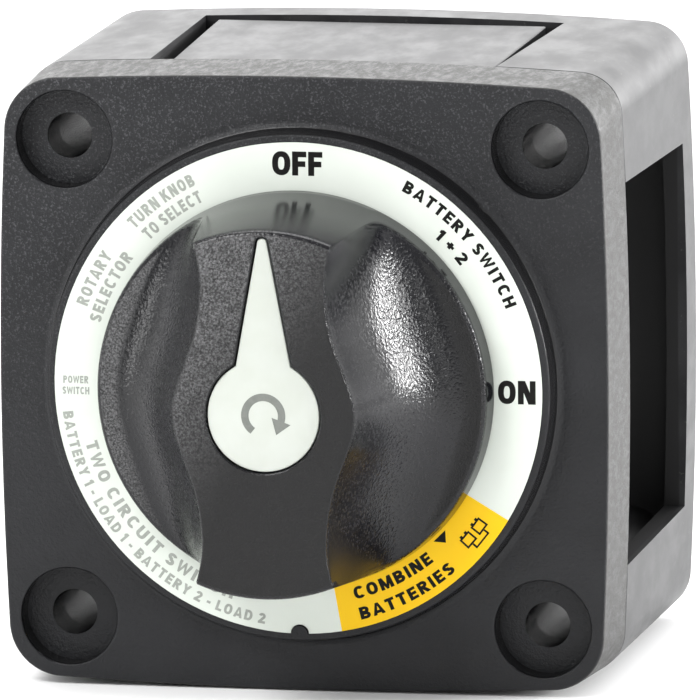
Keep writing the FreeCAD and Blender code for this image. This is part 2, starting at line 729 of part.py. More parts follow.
def bridge_pocket(angle):
    """The pocket for one contact bridge and the bore for its spring."""
    inner, outer = BRIDGE_REACH[0] - 0.2, BRIDGE_REACH[1] + 0.2
    half = BRIDGE_HALF + 0.2
    pocket_floor = BRIDGE_FRONT - FLOAT_ROOM
    pocket = block(-half, half, pocket_floor, CARRIER_BACK + 1, inner, outer)
    middle = (BRIDGE_REACH[0] + BRIDGE_REACH[1]) / 2
    bore = rod(SPRING_BORE_RADIUS, SPRING_SEAT, pocket_floor + 0.5, 0, middle)
    return turned(pocket.fuse(bore), angle)


def contact_carrier():
    disc = rod(CARRIER_RADIUS, CARRIER_FRONT, CARRIER_BACK)
    cuts = [hex_bar(CARRIER_DRIVE_FLATS, CARRIER_FRONT - 1, CARRIER_BACK + 1)]
    cuts += [bridge_pocket(BRIDGE_ANGLE), bridge_pocket(BRIDGE_ANGLE + 180)]
    inner, outer = COMBINE_RING[0] - 0.2, COMBINE_RING[1] + 0.2
    cuts.append(tube(outer, inner, CARRIER_BACK - COMBINE_POCKET_DEPTH, CARRIER_BACK + 1))
    for position in (0.0, 90.0, TURN_DEGREES):
        for angle in DETENT_ANGLES:
            x, z = polar(DETENT_NOTCH_CIRCLE, angle - position)
            cuts.append(rod(DETENT_NOTCH_RADIUS, CARRIER_FRONT - 1, CARRIER_BACK + 1, x, z))
    return disc.cut(Part.makeCompound(cuts))


def contact_bridge(angle):
    """A copper bar with one tip on the outer ring and one on the inner ring."""
    places = (BRIDGE_FRONT, BRIDGE_BACK)
    bar = block(-BRIDGE_HALF, BRIDGE_HALF, *places, *BRIDGE_REACH)
    tips = []
    for ring in (OUTER_RING, INNER_RING):
        middle = sum(ring) / 2
        tips.append(rod(TIP_RADIUS, BRIDGE_BACK - 0.5, CONTACT_FACE - CONTACT_GAP, 0, middle))
    return turned(bar.multiFuse(tips), angle)


def bridge_spring(angle):
    middle = (BRIDGE_REACH[0] + BRIDGE_REACH[1]) / 2
    size = (BRIDGE_SPRING_RADIUS, BRIDGE_WIRE_RADIUS)
    coil = helix_spring(*size, SPRING_SEAT, BRIDGE_FRONT, BRIDGE_SPRING_TURNS, 0, middle)
    return turned(coil, angle)


def combine_bridge():
    """A copper ring whose two tips join the battery plates at the last position."""
    ring = tube(COMBINE_RING[1], COMBINE_RING[0], COMBINE_FRONT, BRIDGE_BACK)
    tips = []
    for angle in (COMBINE_ANGLE, COMBINE_ANGLE + 180):
        x, z = polar(COMBINE_TIP_CIRCLE, angle)
        end = CONTACT_FACE - CONTACT_GAP
        tips.append(rod(COMBINE_TIP_RADIUS, BRIDGE_BACK - 0.5, end, x, z))
    return ring.multiFuse(tips)


def combine_springs():
    """Two small coils behind the ring, halfway between its tips."""
    seat = CARRIER_BACK - COMBINE_POCKET_DEPTH
    sizes = (COMBINE_SPRING_COIL, COMBINE_SPRING_WIRE, seat, COMBINE_FRONT)
    places = [polar(COMBINE_TIP_CIRCLE, COMBINE_ANGLE + quarter) for quarter in (-90, 90)]
    coils = [helix_spring(*sizes, COMBINE_SPRING_TURNS, x, z) for x, z in places]
    return Part.makeCompound(coils)


def sub_parts():
    """Every node's name with its shape."""
    contacts = [fixed_contact(blank) for blank in contact_blanks()]
    studs = at_studs(stud)
    washer_back = BASE_BACK + WASHER_THICKNESS
    jam_back = washer_back + JAM_NUT_HEIGHT
    lock_back = jam_back + LOCK_WASHER_THICKNESS
    hole = STUD_RADIUS + 0.15
    washers = at_studs(lambda x, z: tube(WASHER_OUTER, hole, BASE_BACK, washer_back, x, z))
    jam_nuts = at_studs(lambda x, z: nut(x, z, washer_back, JAM_NUT_HEIGHT))
    lock_washers = at_studs(lambda x, z: lock_washer(x, z, jam_back))
    terminal_nuts = at_studs(lambda x, z: nut(x, z, lock_back, TERMINAL_NUT_HEIGHT))
    screws = [base_screw(x, z) for x, z in base_screw_places()]
    top_plate = side_plate()
    return {
        "front_housing": front_housing(),
        "dial_label": dial_label(),
        "rear_cover": rear_cover(),
        "top_side_plate": top_plate,
        "bottom_side_plate": turned(top_plate, 180),
        "contact_base": contact_base(),
        "base_gasket": base_gasket(),
        "base_screws": Part.makeCompound(screws),
        "battery_1_contact": contacts[0],
        "load_1_contact": contacts[1],
        "battery_2_contact": contacts[2],
        "load_2_contact": contacts[3],
        "load_1_stud": studs[0],
        "battery_1_stud": studs[1],
        "battery_2_stud": studs[2],
        "load_2_stud": studs[3],
        "stud_washers": Part.makeCompound(washers),
        "jam_nuts": Part.makeCompound(jam_nuts),
        "lock_washers": Part.makeCompound(lock_washers),
        "terminal_nuts": Part.makeCompound(terminal_nuts),
        "detent_spring_right": detent_spring(DETENT_ANGLES[0]),
        "detent_spring_left": detent_spring(DETENT_ANGLES[1]),
        "knob": knob(),
        "pointer_insert": pointer_insert(),
        "knob_screw": knob_screw(),
        "rotor_shaft": rotor_shaft(),
        "shaft_seal": shaft_seal(),
        "thrust_washer": thrust_washer(),
        "contact_carrier": contact_carrier(),
        "contact_bridge_1": contact_bridge(BRIDGE_ANGLE),
        "contact_bridge_2": contact_bridge(BRIDGE_ANGLE + 180),
        "combine_bridge": combine_bridge(),
        "bridge_spring_1": bridge_spring(BRIDGE_ANGLE),
        "bridge_spring_2": bridge_spring(BRIDGE_ANGLE + 180),
        "combine_springs": combine_springs(),
    }


os.makedirs("parts", exist_ok=True)
for name, shape in sub_parts().items():
    shape.exportStep("parts/" + name + ".step")
    print(name, len(shape.Solids), "solids", round(shape.Volume, 2), "mm3", shape.isValid())
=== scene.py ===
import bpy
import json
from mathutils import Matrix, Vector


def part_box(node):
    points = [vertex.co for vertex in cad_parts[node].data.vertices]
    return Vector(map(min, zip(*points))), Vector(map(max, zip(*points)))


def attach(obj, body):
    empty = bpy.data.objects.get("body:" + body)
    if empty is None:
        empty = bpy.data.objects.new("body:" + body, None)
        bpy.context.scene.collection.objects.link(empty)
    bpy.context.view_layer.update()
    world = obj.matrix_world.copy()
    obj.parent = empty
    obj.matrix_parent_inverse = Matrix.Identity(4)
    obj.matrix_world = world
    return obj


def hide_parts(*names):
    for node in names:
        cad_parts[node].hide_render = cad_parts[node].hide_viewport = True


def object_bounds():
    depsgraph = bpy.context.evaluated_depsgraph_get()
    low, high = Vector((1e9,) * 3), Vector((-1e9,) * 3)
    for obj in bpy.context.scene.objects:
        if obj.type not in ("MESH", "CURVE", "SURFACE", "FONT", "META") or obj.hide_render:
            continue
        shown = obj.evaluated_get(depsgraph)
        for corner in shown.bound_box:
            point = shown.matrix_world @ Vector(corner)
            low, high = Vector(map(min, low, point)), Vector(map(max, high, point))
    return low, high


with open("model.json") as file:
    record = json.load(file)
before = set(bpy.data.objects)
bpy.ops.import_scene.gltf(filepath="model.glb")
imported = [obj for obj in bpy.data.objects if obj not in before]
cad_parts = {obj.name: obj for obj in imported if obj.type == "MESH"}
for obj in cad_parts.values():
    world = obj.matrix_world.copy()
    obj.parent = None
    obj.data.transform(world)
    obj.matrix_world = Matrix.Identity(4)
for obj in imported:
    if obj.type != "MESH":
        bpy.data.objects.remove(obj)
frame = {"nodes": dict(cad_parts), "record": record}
cad_box = [list(corner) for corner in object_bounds()]

import json
import math

import bmesh
import bpy
from mathutils import Matrix, Vector

# A rotary battery switch. The frame is the CAD's: X right, Y back, Z up, metres.
# Shapes below are worked out in millimetres and scaled by MM when they become meshes.
# Dial angles are degrees clockwise from the top, as a person facing the dial sees them.

MM = 0.001
RECORD = frame["record"]
SLOTS = {part["node"]: part["material_slot"] for part in RECORD["subparts"]}
BODIES = RECORD["behaviour"]["bodies"]
BODY_OF = {node: body for body, nodes in BODIES.items() for node in nodes}

BOSS_RISE = 2.9
KNOB_CLEARANCE = 0.5
LABEL_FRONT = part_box("dial_label")[0].y / MM
BOSS_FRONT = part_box("dial_label")[1].y / MM
FLANGE_FRONT = BOSS_FRONT + BOSS_RISE
KNOB_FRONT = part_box("knob")[0].y / MM
KNOB_BASE = BOSS_FRONT - KNOB_CLEARANCE
FLOOR_Z = cad_box[0][2]

# Case: where its outer sides begin, across a flat side and across a corner, each as the start
# and end of a blend between finishes. The holes' blend lies just outside their wall.
SIDE_BLEND = (34.0, 34.2)
CORNER_BLEND = (63.6, 64.2)
HOLE_PLACE = 27.3
HOLE_BLEND = (2.9, 3.1)

# Knob: its wall is a cone from KNOB_RADIUS at the base to RIDGE_END_RADIUS at the front.
KNOB_RADIUS = 22.65
RIDGE_END_RADIUS = 20.8
RIM_RISE = 3.7
RIM_FRONT = LABEL_FRONT - RIM_RISE
RIDGE_RISE = RIM_FRONT - KNOB_FRONT
RIDGE_NARROW = 7.0
RIDGE_BULGE, RIDGE_BULGE_REACH = 3.4, 7.5
RIDGE_FLARE, RIDGE_FLARE_START, RIDGE_FLARE_REACH = 1.6, 14.0, 7.0
SCOOP_POWER = 2.6
SCOOP_MIN_WIDTH = 1.5
EDGE_SOFTNESS = 0.28
KNOB_SHOULDER = 0.65
KNOB_FOOT = 0.25

# How finely the knob is divided: spokes round its axis, and steps along each spoke.
SPOKES = 720
FRONT_STEPS = 60
SHOULDER_STEPS = 6
WALL_STEPS = 16

# The stepped bore at the knob's middle
SCREW_HEAD_BORE = 4.0
SCREW_BORE = 2.17
SOCKET_BORE = 4.62
SLEEVE_BORE = 8.4
SCREW_SEAT_DEPTH = 2.8
SOCKET_DEPTH = 12.1
SLEEVE_DEPTH = 4.4

# The lug below the knob that stops it at both ends of its turn
LUG_INNER, LUG_OUTER = 12.0, 16.0
LUG_START, LUG_SPAN = 113.2, 13.6
LUG_DROP = 1.2
LUG_CHAMFER = 0.1
LUG_STEPS = 12

# Pointer
POINTER_DISC = 6.35
POINTER_TIP = 20.0
POINTER_TIP_RADIUS = 0.55
POINTER_HALF_BASE = 3.1
POCKET_GAP = 0.15
POCKET_DEPTH = 0.9
POINTER_RECESS = 0.2
DISC_STEPS = 72
TIP_STEPS = 16

# Label
SECTOR_START, SECTOR_END = 120.9, 170.0
PRINT_RISE = 0.012
PRINT_SINK = 0.002

# Block letters are 1 high, and their strokes are this wide.
STROKE = 0.235
HALF_STROKE = STROKE / 2
SPACE = 0.34

# Studs
THREAD_PITCH = 1.5875
THREAD_DEPTH = 0.86
THREAD_RADIUS = 4.76
THREAD_FADE = 0.7
STUD_FOOT = 3.6
COLLAR_BACK = 4.9
COLLAR_RADIUS, COLLAR_CHAMFER = 6.35, 0.25
COLLAR_THICK = 3.0

# CAD meshes: points closer than WELD (metres) are joined, faces within FLAT degrees are merged,
# and edges sharper than SHARP degrees are rounded.
WELD = 1e-7
FLAT = 0.4
SHARP = 32
SMOOTH_BELOW = 36

# Camera, fitted to the dial's flange: degrees, metres and millimetres of focal length
VIEW_AZIMUTH, VIEW_ELEVATION, VIEW_ROLL = 11.93, 9.46, -0.49
VIEW_DISTANCE = 2.005
VIEW_AIM = (0.0054, 0.0, 0.00403)
SENSOR_WIDTH = 36.0
FOCAL_LENGTH = 915.5

# Floor
FLOOR_REACH = 4000.0
FLOOR_GAP = 0.02


def polar(radius, degrees):
    """X and Z of a point at a dial angle."""
    angle = math.radians(degrees)
    return radius * math.sin(angle), radius * math.cos(angle)


# ---------------------------------------------------------------- meshes


def make_object(name, points, faces):
    """An object from points in millimetres."""
    mesh = bpy.data.meshes.new(name)
    mesh.from_pydata([(x * MM, y * MM, z * MM) for x, y, z in points], [], faces)
    mesh.update()
    made = bpy.data.objects.new(name, mesh)
    bpy.context.scene.collection.objects.link(made)
    return made


def outward(made):
    """Makes every face of a closed mesh point outwards."""
    shape = bmesh.new()
    shape.from_mesh(made.data)
    bmesh.ops.recalc_face_normals(shape, faces=shape.faces)
    shape.to_mesh(made.data)
    shape.free()
    return made


def smooth(made, degrees):
    """Smooth shading, with sharp edges where faces meet at more than the given angle."""
    for face in made.data.polygons:
        face.use_smooth = True
    made.data.set_sharp_from_angle(angle=math.radians(degrees))
    return made


def settle(piece, body, slot, finish, *nodes):
    """Gives a piece its finish and its body, and hides the CAD nodes that it stands for. The slot is
    not used.
    """
    piece.data.materials.clear()
    piece.data.materials.append(finish)
    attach(piece, body)
    if nodes:
        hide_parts(*nodes)
    return piece


def lofted(name, rings):
    """A closed mesh through rings that all have the same number of points."""
    count = len(rings[0])
    points = [point for ring in rings for point in ring]
    faces = []
    for level in range(len(rings) - 1):
        low = level * count
        for step in range(count):
            after = (step + 1) % count
            faces.append((low + step, low + after, low + count + after, low + count + step))
    top = (len(rings) - 1) * count
    faces.append(tuple(range(count - 1, -1, -1)))
    faces.append(tuple(range(top, top + count)))
    return outward(make_object(name, points, faces))


def lathe(name, profile, x=0.0, z=0.0, steps=96):
    """A turned solid along Y. The profile is a list of (radius, y)."""
    rings = []
    for radius, y in profile:
        ring = []
        for step in range(steps):
            dx, dz = polar(radius, 360.0 * step / steps)
            ring.append((x + dx, y, z + dz))
        rings.append(ring)
    return lofted(name, rings)


def boolean(target, tool, operation):
    """Applies one exact boolean and removes the tool."""
    modifier = target.modifiers.new("cut", "BOOLEAN")
    modifier.object = tool
    modifier.operation = operation
    modifier.solver = "EXACT"
    graph = bpy.context.evaluated_depsgraph_get()
    result = bpy.data.meshes.new_from_object(target.evaluated_get(graph))
    target.modifiers.clear()
    target.data = result
    bpy.data.objects.remove(tool)
    return target


def softened(node, width, name):
    """A copy of a CAD node with its sharp edges rounded off."""
    shape = bmesh.new()
    shape.from_mesh(frame["nodes"][node].data)
    bmesh.ops.remove_doubles(shape, verts=shape.verts, dist=WELD)
    flat = math.radians(FLAT)
    bmesh.ops.dissolve_limit(shape, angle_limit=flat, verts=shape.verts, edges=shape.edges)
    sharp = math.radians(SHARP)
    edges = [e for e in shape.edges if e.is_manifold and e.calc_face_angle() > sharp]
    bmesh.ops.bevel(
        shape, geom=edges, offset=width * MM, segments=2, profile=0.5,
        affect="EDGES", clamp_overlap=True, miter_outer="ARC",
    )
    mesh = bpy.data.meshes.new(name)
    shape.to_mesh(mesh)
    shape.free()
    made = bpy.data.objects.new(name, mesh)
    bpy.context.scene.collection.objects.link(made)
    smooth(made, SMOOTH_BELOW)
    made.modifiers.new("flat_faces_stay_flat", "WEIGHTED_NORMAL").keep_sharp = True
    return made


# ---------------------------------------------------------------- finishes


class Finish:
    """Builds one material's nodes. Lengths are millimetres."""

    def __init__(self, name):
        self.material = bpy.data.materials.new(name)
        self.material.use_nodes = True
        self.tree = self.material.node_tree
        self.tree.nodes.clear()
        self.shader = self.tree.nodes.new("ShaderNodeBsdfPrincipled")
        output = self.tree.nodes.new("ShaderNodeOutputMaterial")
        self.tree.links.new(self.shader.outputs["BSDF"], output.inputs["Surface"])
        self.coords = self.tree.nodes.new("ShaderNodeTexCoord")
        self.height = None

    def node(self, kind, inputs=(), **settings):
        """Adds a node. Its inputs are numbers, colours or the outputs of other nodes."""
        made = self.tree.nodes.new("ShaderNode" + kind)
        for key, value in settings.items():
            setattr(made, key, value)
        for key, value in dict(inputs).items():
            if isinstance(value, bpy.types.NodeSocket):
                self.tree.links.new(value, made.inputs[key])
            else:
                made.inputs[key].default_value = value
        return made

    def set(self, key, value):
        """Gives one of the shader's inputs a value, or links it."""
        if isinstance(value, bpy.types.NodeSocket):
            self.tree.links.new(value, self.shader.inputs[key])
        else:
            self.shader.inputs[key].default_value = value

    def noise(self, size, detail=2.0, stretch=(1.0, 1.0, 1.0), rough=0.5):
        """Noise whose features are about as long as size."""
        place = self.node(
            "Mapping", {"Vector": self.coords.outputs["Object"], "Scale": stretch}
        )
        inputs = {"Vector": place.outputs[0], "Scale": 1.0 / (size * MM)}
        inputs.update({"Detail": detail, "Roughness": rough})
        return self.node("TexNoise", inputs).outputs["Fac"]

    def cells(self, size):
        """Rounded cells about as wide as size."""
        inputs = {"Vector": self.coords.outputs["Object"], "Scale": 1.0 / (size * MM)}
        return self.node("TexVoronoi", inputs).outputs["Distance"]

    def ramp(self, value, low, high, start=0.0, end=1.0):
        """Start below low, end above high, and a smooth rise between them."""
        inputs = {"Value": value, "From Min": low, "From Max": high, "To Min": start, "To Max": end}
        return self.node("MapRange", inputs, interpolation_type="SMOOTHSTEP").outputs[0]

    def math(self, operation, first, second=0.0):
        return self.node("Math", {0: first, 1: second}, operation=operation).outputs[0]

    def mix(self, factor, first, second):
        """A colour between two colours."""
        made = self.node("Mix", data_type="RGBA")
        for index, value in ((0, factor), (6, first), (7, second)):
            if isinstance(value, bpy.types.NodeSocket):
                self.tree.links.new(value, made.inputs[index])
            elif index == 0:
                made.inputs[index].default_value = value
            else:
                made.inputs[index].default_value = (*value, 1.0)
        return made.outputs[2]

    def blended(self, factor, first, second):
        """A number between two numbers."""
        inputs = {0: factor, 2: first, 3: second}
        return self.node("Mix", inputs, data_type="FLOAT").outputs[0]

    def bump(self, height, depth, strength=1.0):
        """Adds relief of the given depth. Calls after the first add finer relief to it."""
        inputs = {"Height": height, "Distance": depth * MM, "Strength": strength}
        if self.height:
            inputs["Normal"] = self.height
        self.height = self.node("Bump", inputs).outputs[0]
        self.set("Normal", self.height)

    def normal_axis(self, axis):
        """How much the surface faces along an axis of the object, from 0 to 1."""
        parts = self.node("SeparateXYZ", {0: self.coords.outputs["Normal"]})
        return self.math("ABSOLUTE", parts.outputs[axis])

    def place_axis(self, axis):
        """A coordinate of the object, in metres."""
        parts = self.node("SeparateXYZ", {0: self.coords.outputs["Object"]})
        return parts.outputs[axis]

    def lean(self, share):
        """Height on the dial less a share of the distance to the right, in metres."""
        aside = self.math("MULTIPLY", self.place_axis(0), share)
        return self.math("SUBTRACT", self.place_axis(2), aside)


def outside_holes(f):
    """0 inside the four mounting holes and 1 elsewhere."""
    across = f.math("ABSOLUTE", f.place_axis(0))
    up = f.math("ABSOLUTE", f.place_axis(2))
    dx = f.math("SUBTRACT", across, HOLE_PLACE * MM)
    dz = f.math("SUBTRACT", up, HOLE_PLACE * MM)
    squares = f.math("ADD", f.math("MULTIPLY", dx, dx), f.math("MULTIPLY", dz, dz))
    return f.ramp(f.math("SQRT", squares), HOLE_BLEND[0] * MM, HOLE_BLEND[1] * MM)


def outer_side(f):
    """1 on the case's outer sides and 0 on the walls inside them."""
    across = f.math("ABSOLUTE", f.place_axis(0))
    up = f.math("ABSOLUTE", f.place_axis(2))
    reach = f.math("MAXIMUM", across, up)
    flat_side = f.ramp(reach, SIDE_BLEND[0] * MM, SIDE_BLEND[1] * MM)
    reach = f.math("ADD", across, up)
    corner = f.ramp(reach, CORNER_BLEND[0] * MM, CORNER_BLEND[1] * MM)
    return f.math("MAXIMUM", flat_side, corner)


def case_finish():
    """Black moulded plastic: a leathery dial side with painted glints that thicken towards the upper
    left, a pitted outer band and glossy inner walls.
    """
    f = Finish("case_black_moulded")
    facing = f.ramp(f.normal_axis(1), 0.55, 0.8)
    outer = outer_side(f)

    leather = f.cells(0.55)
    fine = f.noise(0.26, 2.0, rough=0.75)
    grain = f.math("ADD", f.math("MULTIPLY", leather, 0.4), fine)
    # Painted highlight: pale specks stand for glints of light on the grain. They are densest towards
    # the upper left, where the light falls.
    glint_side_mask = f.ramp(f.lean(0.4), -16 * MM, 40 * MM)
    specks = f.math("MULTIPLY", f.ramp(fine, 0.52, 0.72), glint_side_mask)
    clouds = f.ramp(f.noise(9.0, 2.0), 0.3, 0.7)
    grey = f.mix(clouds, (0.0045, 0.0048, 0.0062), (0.0085, 0.009, 0.0108))
    front = f.mix(specks, grey, (0.06, 0.061, 0.066))

    mottle = f.noise(1.0, 5.0, stretch=(1.0, 0.35, 1.0), rough=0.78)
    pits = f.noise(0.45, 3.0, stretch=(1.0, 0.35, 1.0), rough=0.7)
    pale = f.ramp(mottle, 0.36, 0.66, 0.0, 0.75)
    band_mix = f.math("ADD", pale, f.ramp(pits, 0.58, 0.74, 0.0, 0.5))
    band = f.mix(band_mix, (0.007, 0.007, 0.007), (0.052, 0.051, 0.048))
    side = f.mix(outer, (0.006, 0.006, 0.0066), band)
    f.set("Base Color", f.mix(facing, side, front))

    inner_rough = f.blended(outside_holes(f), 0.03, 0.27)
    side_rough = f.blended(outer, inner_rough, f.ramp(mottle, 0.35, 0.65, 0.36, 0.58))
    f.set("Roughness", f.blended(facing, side_rough, f.ramp(fine, 0.3, 0.7, 0.36, 0.5)))
    f.set("IOR", 1.40)
    band_relief = f.math("MULTIPLY", mottle, f.math("MULTIPLY", outer, 0.6))
    relief = f.blended(facing, band_relief, f.math("MULTIPLY", grain, 0.45))
    f.bump(relief, 0.22)
    return f.material


def cover_finish():
    """The rear cover: the same plastic with a smoother, satin face."""
    f = Finish("cover_black_satin")
    clouds = f.noise(5.0, 4.0, stretch=(1.0, 0.5, 1.0), rough=0.6)
    specks = f.ramp(f.noise(0.6, 3.0, stretch=(1.0, 0.4, 1.0), rough=0.7), 0.64, 0.76)
    grey = f.mix(f.ramp(clouds, 0.3, 0.7), (0.011, 0.011, 0.0125), (0.023, 0.023, 0.0245))
    rear = f.ramp(f.place_axis(1), -0.9 * MM, -0.5 * MM)
    outer = f.math("MAXIMUM", outer_side(f), rear)
    speckled = f.mix(specks, grey, (0.075, 0.073, 0.068))
    f.set("Base Color", f.mix(outer, (0.004, 0.004, 0.0044), speckled))
    wall = f.blended(outer, 0.5, f.ramp(clouds, 0.3, 0.7, 0.35, 0.46))
    outside = outside_holes(f)
    f.set("Roughness", f.blended(outside, 0.03, wall))
    f.set("IOR", 1.46)
    f.bump(f.math("MULTIPLY", clouds, outside), 0.05, 0.5)
    return f.material


def plate_finish():
    """The loose side plates: cloudy satin."""
    f = Finish("plate_black_satin")
    clouds = f.noise(4.0, 4.0, stretch=(1.0, 0.5, 1.0), rough=0.62)
    tint = f.ramp(clouds, 0.32, 0.68)
    f.set("Base Color", f.mix(tint, (0.011, 0.011, 0.013), (0.024, 0.024, 0.026)))
    f.set("Roughness", f.ramp(clouds, 0.3, 0.7, 0.33, 0.44))
    f.set("IOR", 1.46)
    f.bump(clouds, 0.04, 0.5)
    f.bump(f.noise(0.25, 2.0), 0.004, 0.5)
    return f.material


def knob_finish():
    """The knob: a grained ridge with a painted sheen that is brightest at its upper left, finely
    sparkling scoops and a glossy side wall.
    """
    f = Finish("knob_black")
    facing = f.normal_axis(1)
    top = f.ramp(facing, 0.93, 0.995)
    wall = f.ramp(facing, 0.34, 0.22)
    low_wall = f.ramp(f.place_axis(1), (KNOB_FRONT + 6.0) * MM, (KNOB_BASE - 1.5) * MM)
    grain = f.noise(0.22, 2.0, rough=0.7)
    sparkle = f.noise(0.37, 1.0, rough=0.6)
    # Painted sheen: the ridge's grain is made lighter towards its upper left, where the light falls,
    # and stays near black towards the lower right.
    painted_sheen_side = f.ramp(f.lean(1.5), -4 * MM, 26 * MM)
    clouds = f.ramp(f.noise(8.0, 2.0), 0.3, 0.7)
    scoop_grey = f.mix(clouds, (0.0035, 0.0036, 0.0046), (0.006, 0.006, 0.0078))
    painted_sheen_grey = f.mix(painted_sheen_side, (0.0025, 0.0025, 0.003), (0.19, 0.19, 0.195))
    top_grey = f.mix(f.ramp(grain, 0.3, 0.84), (0.002, 0.002, 0.0023), painted_sheen_grey)
    f.set("Base Color", f.mix(top, scoop_grey, top_grey))
    scoop_rough = f.ramp(sparkle, 0.36, 0.64, 0.14, 0.28)
    front_rough = f.blended(top, scoop_rough, f.ramp(grain, 0.35, 0.65, 0.3, 0.44))
    wall_rough = f.ramp(low_wall, 0.0, 1.0, 0.24, 0.12)
    f.set("Roughness", f.blended(wall, front_rough, wall_rough))
    f.set("IOR", 1.39)
    relief = f.blended(top, f.math("MULTIPLY", sparkle, 0.48), grain)
    f.bump(f.math("MULTIPLY", relief, f.ramp(facing, 0.3, 0.6)), 0.17)
    return f.material


def label_finish():
    """A printed film: pale greenish white with a yellow sector for the last position."""
    f = Finish("label_printed_film")
    across, up = f.place_axis(0), f.place_axis(2)
    angle = f.math("ARCTAN2", across, up)
    after = f.math("GREATER_THAN", angle, math.radians(SECTOR_START))
    before = f.math("LESS_THAN", angle, math.radians(SECTOR_END))
    sector = f.math("MULTIPLY", after, before)
    tint = f.ramp(f.noise(6.0, 2.0), 0.3, 0.7)
    film = f.mix(tint, (0.655, 0.70, 0.64), (0.68, 0.72, 0.665))
    yellow = f.mix(tint, (0.86, 0.52, 0.002), (0.88, 0.545, 0.003))
    f.set("Base Color", f.mix(sector, film, yellow))
    f.set("Roughness", f.ramp(f.noise(0.5, 3.0), 0.3, 0.7, 0.34, 0.44))
    f.set("Specular IOR Level", 0.2)
    f.bump(f.noise(0.35, 2.0), 0.002, 0.5)
    return f.material


def pointer_finish():
    """Smooth pale plastic that lets a little light in."""
    f = Finish("pointer_pale_plastic")
    tint = f.ramp(f.noise(3.0, 2.0), 0.3, 0.7)
    f.set("Base Color", f.mix(tint, (0.47, 0.495, 0.45), (0.49, 0.515, 0.475)))
    f.set("Roughness", f.ramp(f.noise(0.6, 2.0), 0.3, 0.7, 0.3, 0.4))
    f.set("Subsurface Weight", 0.08)
    f.set("Subsurface Radius", (0.001, 0.001, 0.0008))
    f.bump(f.noise(0.4, 2.0), 0.003, 0.5)
    return f.material


def ink_finish(name, dark, light):
    """Flat printing ink."""
    f = Finish(name)
    f.set("Base Color", f.mix(f.ramp(f.noise(0.5, 2.0), 0.3, 0.7), dark, light))
    f.set("Roughness", f.ramp(f.noise(0.3, 2.0), 0.3, 0.7, 0.55, 0.7))
    f.set("Specular IOR Level", 0.15)
    return f.material


def metal_finish(name, dark, light, rough, scratch):
    """Turned or plated metal with fine marks around its axis."""
    f = Finish(name)
    marks = f.noise(scratch, 3.0, stretch=(0.4, 6.0, 0.4))
    blotch = f.noise(2.5, 3.0)
    f.set("Base Color", f.mix(f.ramp(blotch, 0.35, 0.65), dark, light))
    f.set("Metallic", 1.0)
    f.set("Roughness", f.ramp(marks, 0.3, 0.7, rough - 0.06, rough + 0.08))
    f.bump(marks, 0.006, 0.4)
    return f.material


def moulding_finish(name, dark, light, rough):
    """Plain moulded plastic or rubber with a faint grain."""
    f = Finish(name)
    f.set("Base Color", f.mix(f.ramp(f.noise(2.0, 3.0), 0.35, 0.65), dark, light))
    f.set("Roughness", f.ramp(f.noise(0.4, 2.0), 0.3, 0.7, rough - 0.05, rough + 0.07))
    f.bump(f.noise(0.3, 3.0), 0.01, 0.6)
    return f.material


FINISHES = {
    "case_plastic": case_finish(),
    "cover_plastic": cover_finish(),
    "knob_plastic": knob_finish(),
    "dial_label": label_finish(),
    "pointer_plastic": pointer_finish(),
}
for slot, name, dark, light, rough in (
    ("base_plastic", "base_glass_filled", (0.012, 0.012, 0.013), (0.024, 0.023, 0.022), 0.5),
    ("carrier_plastic", "carrier_nylon", (0.50, 0.45, 0.36), (0.58, 0.53, 0.43), 0.42),
    ("washer_plastic", "washer_acetal", (0.80, 0.80, 0.76), (0.86, 0.86, 0.83), 0.35),
    ("seal_rubber", "seal_rubber_black", (0.012, 0.012, 0.012), (0.022, 0.022, 0.021), 0.7),
):
    FINISHES[slot] = moulding_finish(name, dark, light, rough)
for slot, name, dark, light, rough, scratch in (
    ("contact_copper", "contact_copper_bare", (0.70, 0.36, 0.22), (0.80, 0.46, 0.31), 0.3, 0.4),
    ("tinned_copper", "stud_tinned", (0.62, 0.60, 0.56), (0.74, 0.72, 0.68), 0.3, 0.3),
    ("stainless_steel", "steel_stainless", (0.52, 0.52, 0.52), (0.64, 0.64, 0.63), 0.27, 0.35),
    ("spring_steel", "steel_spring", (0.42, 0.42, 0.43), (0.54, 0.54, 0.55), 0.28, 0.2),
    ("shaft_brass", "shaft_brass_turned", (0.70, 0.50, 0.20), (0.80, 0.60, 0.28), 0.28, 0.3),
):
    FINISHES[slot] = metal_finish(name, dark, light, rough, scratch)
PLATE_FINISH = plate_finish()
BLACK_INK = ink_finish("ink_black", (0.004, 0.004, 0.0036), (0.007, 0.007, 0.006))
GREY_INK = ink_finish("ink_grey", (0.30, 0.32, 0.29), (0.34, 0.36, 0.33))
MARK_INK = ink_finish("ink_mark_grey", (0.16, 0.17, 0.155), (0.18, 0.19, 0.175))


# ---------------------------------------------------------------- knob


def ridge_half(z):
    """Half the ridge's width at a height on the dial."""
    bulge = RIDGE_BULGE * math.exp(-((z / RIDGE_BULGE_REACH) ** 2))
    beyond = max(0.0, abs(z) - RIDGE_FLARE_START) / RIDGE_FLARE_REACH
    return RIDGE_NARROW + bulge + RIDGE_FLARE * beyond ** 2


def knob_surface(x, z):
    """Y of the knob's front surface: a flat ridge that falls into a scoop on each side."""
    edge = ridge_half(z)
    rim = max(math.sqrt(max(KNOB_RADIUS ** 2 - z ** 2, 0.0)), edge + SCOOP_MIN_WIDTH)
    along = (abs(x) - edge) / (rim - edge)
    if along < 0:
        drop = RIDGE_RISE * SCOOP_POWER * along
    else:
        drop = RIDGE_RISE * (1 - (1 - min(along, 1.0)) ** SCOOP_POWER)
    return KNOB_FRONT + (drop + math.sqrt(drop ** 2 + EDGE_SOFTNESS ** 2)) / 2


